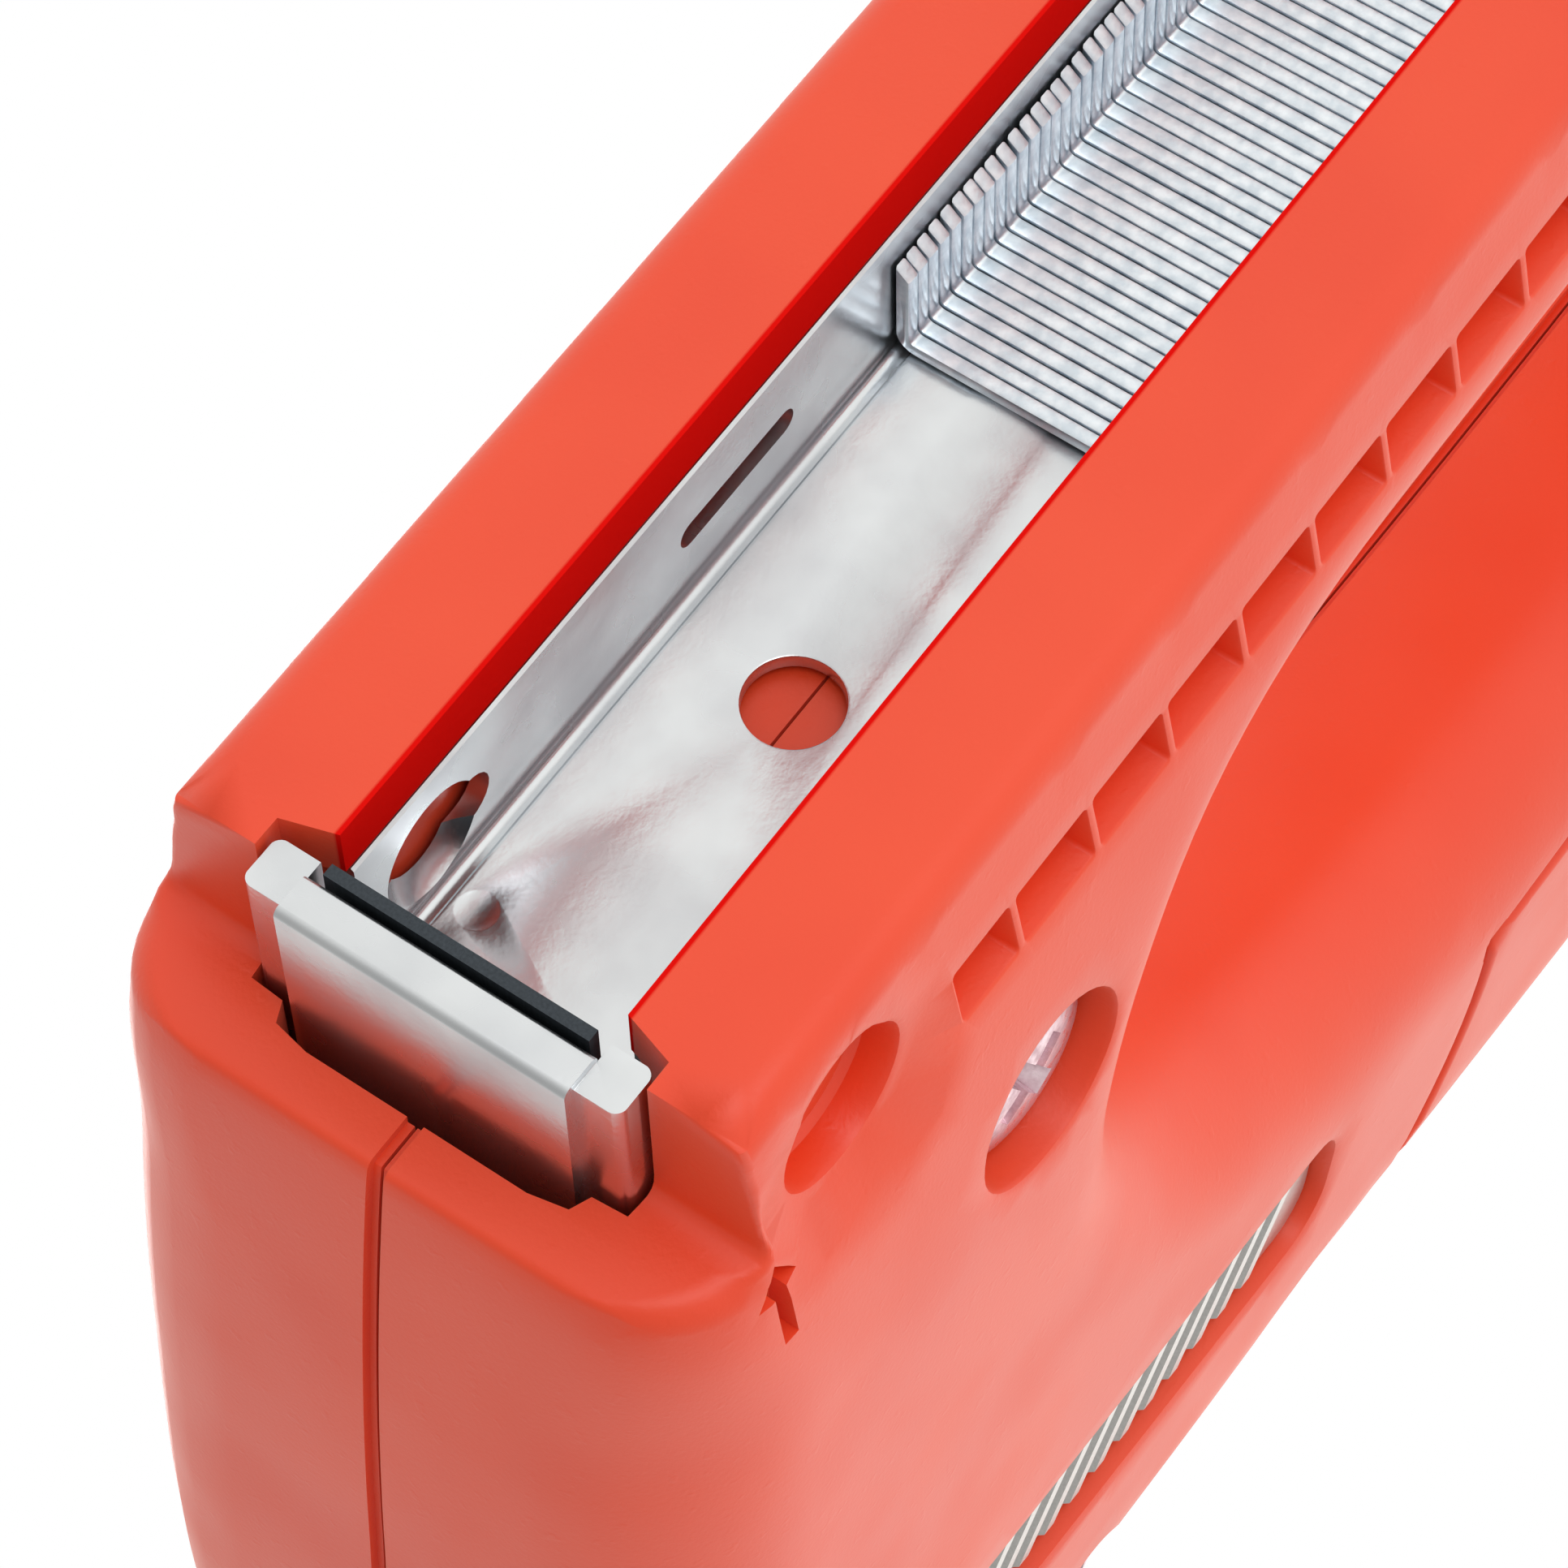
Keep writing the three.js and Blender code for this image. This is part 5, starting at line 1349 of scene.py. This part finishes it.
def pan_head_screw(node):
    x, z, head, top = SCREW_PLACES[node]
    size = head / SCREW_HEAD
    shank = SCREW_SHANK * size
    seat, tip = top + SCREW_HEAD_HEIGHT, from_frame(node)[1].y
    crown = ((1, 0.85), (0.985, 0.6), (0.93, 0.4), (0.82, 0.25), (0.6, 0.1), (0.3, 0.02), (0, 0))
    profile_points = [(0, tip), (0.5 * size, tip - 0.2), (shank, tip - 2), (shank, seat), (head, seat)]
    profile_points += [(head * share, top + fall) for share, fall in crown]
    made = to_object(turned(profile_points, x, z), "screw")
    for wedge in cross_recess(x, z, top, size, SCREW_TURNS[node]):
        boolean(made, wedge)
    finished(made, node.replace("body_screw", "pan_head"), "gun_body", SCREW_ZINC, [node])


for node in SCREW_PLACES:
    pan_head_screw(node)

# %% [markdown]
# ## Badges
# A silver strip sits in a recess on each side. Plain slanted bars stand up from it.

# %% Striped badges
BAR_SLANT, BAR_WIDTH, BAR_PITCH = 3.0, 1.05, 1.9
BAR_EDGE = 0.18          # each bar narrows by this to its top
BADGE_GROUND = 0.6       # the ground's share of the badge's height


def striped_badge(side):
    node = "badge_" + side
    low, high = from_frame(node)
    back, face = (high.y, low.y) if side == "right" else (low.y, high.y)
    ground = back + (face - back) * BADGE_GROUND
    made = to_object(prism(badge_outline(FIT, 2.2), "y", min(back, ground), max(back, ground)), "badge")
    bars = bmesh.new()
    top = BADGE_HEIGHT / 2 - 0.8
    x = BADGE_REAR + 1.9
    while x + BAR_SLANT + BAR_WIDTH < BADGE_FRONT - 1.7:
        rings = []
        for y, edge in ((ground, 0), (face, BAR_EDGE)):
            left, right = x + edge, x + BAR_WIDTH - edge
            low_z, high_z = -top + edge, top - edge
            bar = [(left, low_z), (right, low_z), (right + BAR_SLANT, high_z), (left + BAR_SLANT, high_z)]
            rings.append([bars.verts.new((u, y, w)) for u, w in tilted(bar)])
        loft(bars, *rings)
        x += BAR_PITCH
    bmesh.ops.recalc_face_normals(bars, faces=bars.faces[:])
    boolean(made, bars, "UNION")
    finished(made, "striped_badge_" + side, "gun_body", SILVER, [node])


striped_badge("right")
striped_badge("left")

# %% [markdown]
# ## Wire
# Wire is swept along its own centreline. The frame that carries the section round turns as
# little as it can from point to point, so the wire doesn't twist.

# %% Swept wire


def tube(path, radius, sides=12):
    path = [Vector(p) for p in path]
    mesh = bmesh.new()
    along = (path[1] - path[0]).normalized()
    across = along.orthogonal().normalized()
    rings = []
    for i, point in enumerate(path):
        ahead = path[min(i + 1, len(path) - 1)] - path[max(i - 1, 0)]
        ahead.normalize()
        across = (across - ahead * across.dot(ahead)).normalized()
        third = ahead.cross(across)
        turns = [2 * math.pi * k / sides for k in range(sides)]
        rings.append([mesh.verts.new(point + radius * (math.cos(a) * across + math.sin(a) * third))
                      for a in turns])
    for a, b in zip(rings, rings[1:]):
        for k in range(sides):
            mesh.faces.new((a[k], a[(k + 1) % sides], b[(k + 1) % sides], b[k]))
    for ring, end, before in ((rings[0], path[0], path[1]), (rings[-1], path[-1], path[-2])):
        tip = mesh.verts.new(end + (end - before).normalized() * radius * 0.25)
        for k in range(sides):
            mesh.faces.new((ring[k], ring[(k + 1) % sides], tip))
    bmesh.ops.recalc_face_normals(mesh, faces=mesh.faces[:])
    return mesh


def helix(start, end, radius, turns, steps=20):
    """Points of a spring wound along a straight line, with its end turns closed up."""
    start, end = Vector(start), Vector(end)
    along = end - start
    one = along.normalized().orthogonal().normalized()
    two = along.normalized().cross(one)
    count = round(turns * steps)
    points = []
    for i in range(count + 1):
        t = i / count
        angle = 2 * math.pi * turns * t
        closed_up = t - 0.35 / turns * math.sin(2 * math.pi * t)
        points.append(start + along * closed_up + radius * (math.cos(angle) * one + math.sin(angle) * two))
    return points


LOCK_WIRE_ANGLE = 233                       # degrees, of the two sides
LOCK_WIRE_LENGTH, LOCK_WIRE_SIDE, LOCK_WIRE_RADIUS = 24, 12.9, 0.9
LOCK_WIRE_BEND, LOCK_WIRE_ELBOW = 3.0, 1.1  # the bend at the far end and at the pivot
SPRING_AXIS_Z = 5.2


def lock_wire():
    pivot = Vector((LOCK_WIRE_PIVOT[0], 0, LOCK_WIRE_PIVOT[1]))
    angle = math.radians(LOCK_WIRE_ANGLE)
    down = Vector((math.cos(angle), 0, math.sin(angle)))
    length, side, bend, elbow = LOCK_WIRE_LENGTH, LOCK_WIRE_SIDE, LOCK_WIRE_BEND, LOCK_WIRE_ELBOW

    def at(y, along):
        return pivot + Vector((0, y, 0)) + down * along

    half = [at(-10.1, 0), at(-side + elbow, 0)]
    half += [at(-side + elbow * (1 - sin), elbow * (1 - cos)) for cos, sin in quarter_turn(6)[1:]]
    half += [at(-side, elbow + t * (length - bend - elbow)) for t in np.linspace(0.15, 0.95, 8)]
    half += [at(-side + bend * (1 - cos), length - bend + bend * sin) for cos, sin in quarter_turn(8)]
    half += [at(y, length) for y in (-8, -5, -2.5)]
    path = half + [at(0, length)] + [Vector((p.x, -p.y, p.z)) for p in half[::-1]]
    made = to_object(tube(path, LOCK_WIRE_RADIUS, 16), "wire")
    finished(made, "lock_wire_bail", "lock_wire", ZINC, ["lock_wire"])


def pusher_spring():
    low, high = from_frame("pusher_spring")
    wire = 0.25
    ends = [(x, 0, SPRING_AXIS_Z) for x in (low.x + wire, high.x - wire)]
    made = to_object(tube(helix(*ends, 1.85, 24, 18), wire, 8), "spring")
    finished(made, "wound_pusher_spring", "magazine_tray", WIRE, ["pusher_spring"])


def guide_rod():
    low, high = from_frame("guide_rod")
    axis_z = (low.z + high.z) / 2
    radius = 0.8
    steps = np.linspace(low.x + 0.4, high.x - 0.2, 12)
    made = to_object(tube([(x, 0, axis_z) for x in steps], radius, 20), "rod")
    head = circle(0, axis_z, 2 * radius, 28)
    boolean(made, prism(head, "x", low.x, low.x + 1.2), "UNION")
    finished(made, "round_guide_rod", "magazine_tray", ZINC, ["guide_rod"])


lock_wire()
pusher_spring()
guide_rod()

# %% [markdown]
# ## Magazine
# The rail is a folded U like the channel, but it opens upwards round the spring. The end cap is
# moulded, with finger ribs across its end, and two squeeze buttons let it go.

# %% Rail, end cap and buttons
RAIL_SHEET = 0.8
ROD_HOLE_RADIUS = 1.1
RIVET_HOLE_RADIUS = 1.3
CAP_RIB_Z = (3.2, 5.0, 6.8, 8.6, 10.4)
CAP_RIB_DEPTH = 0.45
PAD_LENGTH, HOOK_LENGTH, ARM_WALL, HOOK_OUT = 6.6, 2.4, 1.4, 1.3
PAD_RIB_X = (1.3, 2.6, 3.9, 5.2)


def cut_rivet_hole(made, top_z):
    low, high = from_frame("tray_rivet")
    boolean(made, prism(circle((low.x + high.x) / 2, 0, RIVET_HOLE_RADIUS, 20), "z", 0, top_z))


def tray_rail():
    low, high = from_frame("tray_rail")
    cap_x = from_frame("tray_end_cap")[1].x
    half = high.y
    section = u_section(half - RAIL_SHEET, half, high.z, low.z + RAIL_SHEET, low.z, 0.4)
    made = to_object(prism(section, "x", low.x, high.x), "rail")
    tab = box(cap_x - 0.4, cap_x + 0.6, -half + 0.05, half - 0.05, low.z + 0.05, high.z - 0.1)
    boolean(made, tab, "UNION")
    boolean(made, prism(circle(0, SPRING_AXIS_Z, ROD_HOLE_RADIUS, 24), "x", cap_x - 2, cap_x + 2))
    cut_rivet_hole(made, high.z)
    finished(made, "folded_rail", "magazine_tray", BRIGHT_STEEL, ["tray_rail"])


def end_cap():
    low, high = from_frame("tray_end_cap")
    rail_low, rail_high = from_frame("tray_rail")
    pad_low, pad_high = from_frame("latch_button_left")
    made = to_object(prism(rounded_box(low.y, low.z, high.y, high.z, 2.5), "x", low.x, high.x), "cap")
    soften(made, lambda middle, edge: abs(middle.x - low.x) < 0.01, 1.4)
    out, deep = low.x - 0.5, low.x + CAP_RIB_DEPTH
    for z in CAP_RIB_Z:
        cut_across(made, [(out, z - 0.45), (deep, z - 0.2), (deep, z + 0.2), (out, z + 0.45)], 8.5)
    half = rail_high.y + FIT
    cut_box(made, rail_low.x - FIT, high.x + 1, half, rail_low.z - FIT, rail_high.z + FIT)
    seat = half + 0.2
    for side in (-1, 1):
        near, far = sorted((side * seat, side * FAR_OUT))
        boolean(made, box(pad_low.x - FIT, high.x + 1, near, far, pad_low.z - FIT, pad_high.z + FIT))
    cut_rivet_hole(made, 3)
    finished(made, "ribbed_end_cap", "magazine_tray", ABS, ["tray_end_cap"])


def squeeze_button(side):
    node = "latch_button_" + side
    low, high = from_frame(node)
    sign = -1 if side == "right" else 1
    inner, outer = sorted((abs(low.y), abs(high.y)))

    def part(x1, x2, y2, shorter):
        near, far = sorted((sign * inner, sign * y2))
        return box(x1, x2, near, far, low.z + shorter, high.z - shorter)

    made = to_object(part(low.x, low.x + PAD_LENGTH, outer, 0), "button")
    boolean(made, part(low.x + PAD_LENGTH - 1, high.x, inner + ARM_WALL, 1), "UNION")
    boolean(made, part(high.x - HOOK_LENGTH, high.x, inner + ARM_WALL + HOOK_OUT, 1), "UNION")
    soften(made, lambda middle, edge: True, 0.35)
    out, deep = sign * (outer + 0.2), sign * (outer - CAP_RIB_DEPTH)
    for x in PAD_RIB_X:
        rib = [(low.x + x - 0.3, out), (low.x + x, deep), (low.x + x + 0.3, out)]
        boolean(made, prism(rib, "z", low.z + 0.8, high.z - 0.8))
    finished(made, "ribbed_" + node, node, NYLON, [node])


tray_rail()
end_cap()
squeeze_button("right")
squeeze_button("left")

# %% [markdown]
# ## Inside pieces
# The CAD solids inside already have their true shapes. They keep them and get a small edge
# break, as a stamped or turned piece has, and the finish of what they are made of.

# %% Finishes for what stays
KEPT = {
    "driver_guide": (BRIGHT_STEEL, 0.12), "spring_cap": (ZINC, 0.12), "driver_carrier": (ZINC, 0.15),
    "handle_core": (ZINC, 0.15), "impact_bumper": (RUBBER, 0.4), "power_spring": (WIRE, 0),
    "handle_spring": (WIRE, 0), "latch_spring_right": (WIRE, 0), "latch_spring_left": (WIRE, 0),
    "driver_blade": (BLUED, 0.08), "handle_pivot_pin": (ZINC, 0.2), "handle_pin_front": (ZINC, 0.2),
    "handle_pin_rear": (ZINC, 0.2), "lift_pin": (ZINC, 0.15), "tray_rivet": (ZINC, 0.15),
    "pusher": (ZINC, 0.2),
}
for name, (material, edge_break) in KEPT.items():
    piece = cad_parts[name]
    for slot in piece.material_slots:
        slot.material = material
    if edge_break:
        modifier = piece.modifiers.new("edge_break", "BEVEL")
        modifier.width = edge_break * MM
        modifier.segments = 2
        modifier.limit_method = "ANGLE"
        modifier.angle_limit = math.radians(40)
print(len(KEPT), "CAD pieces keep their shape")
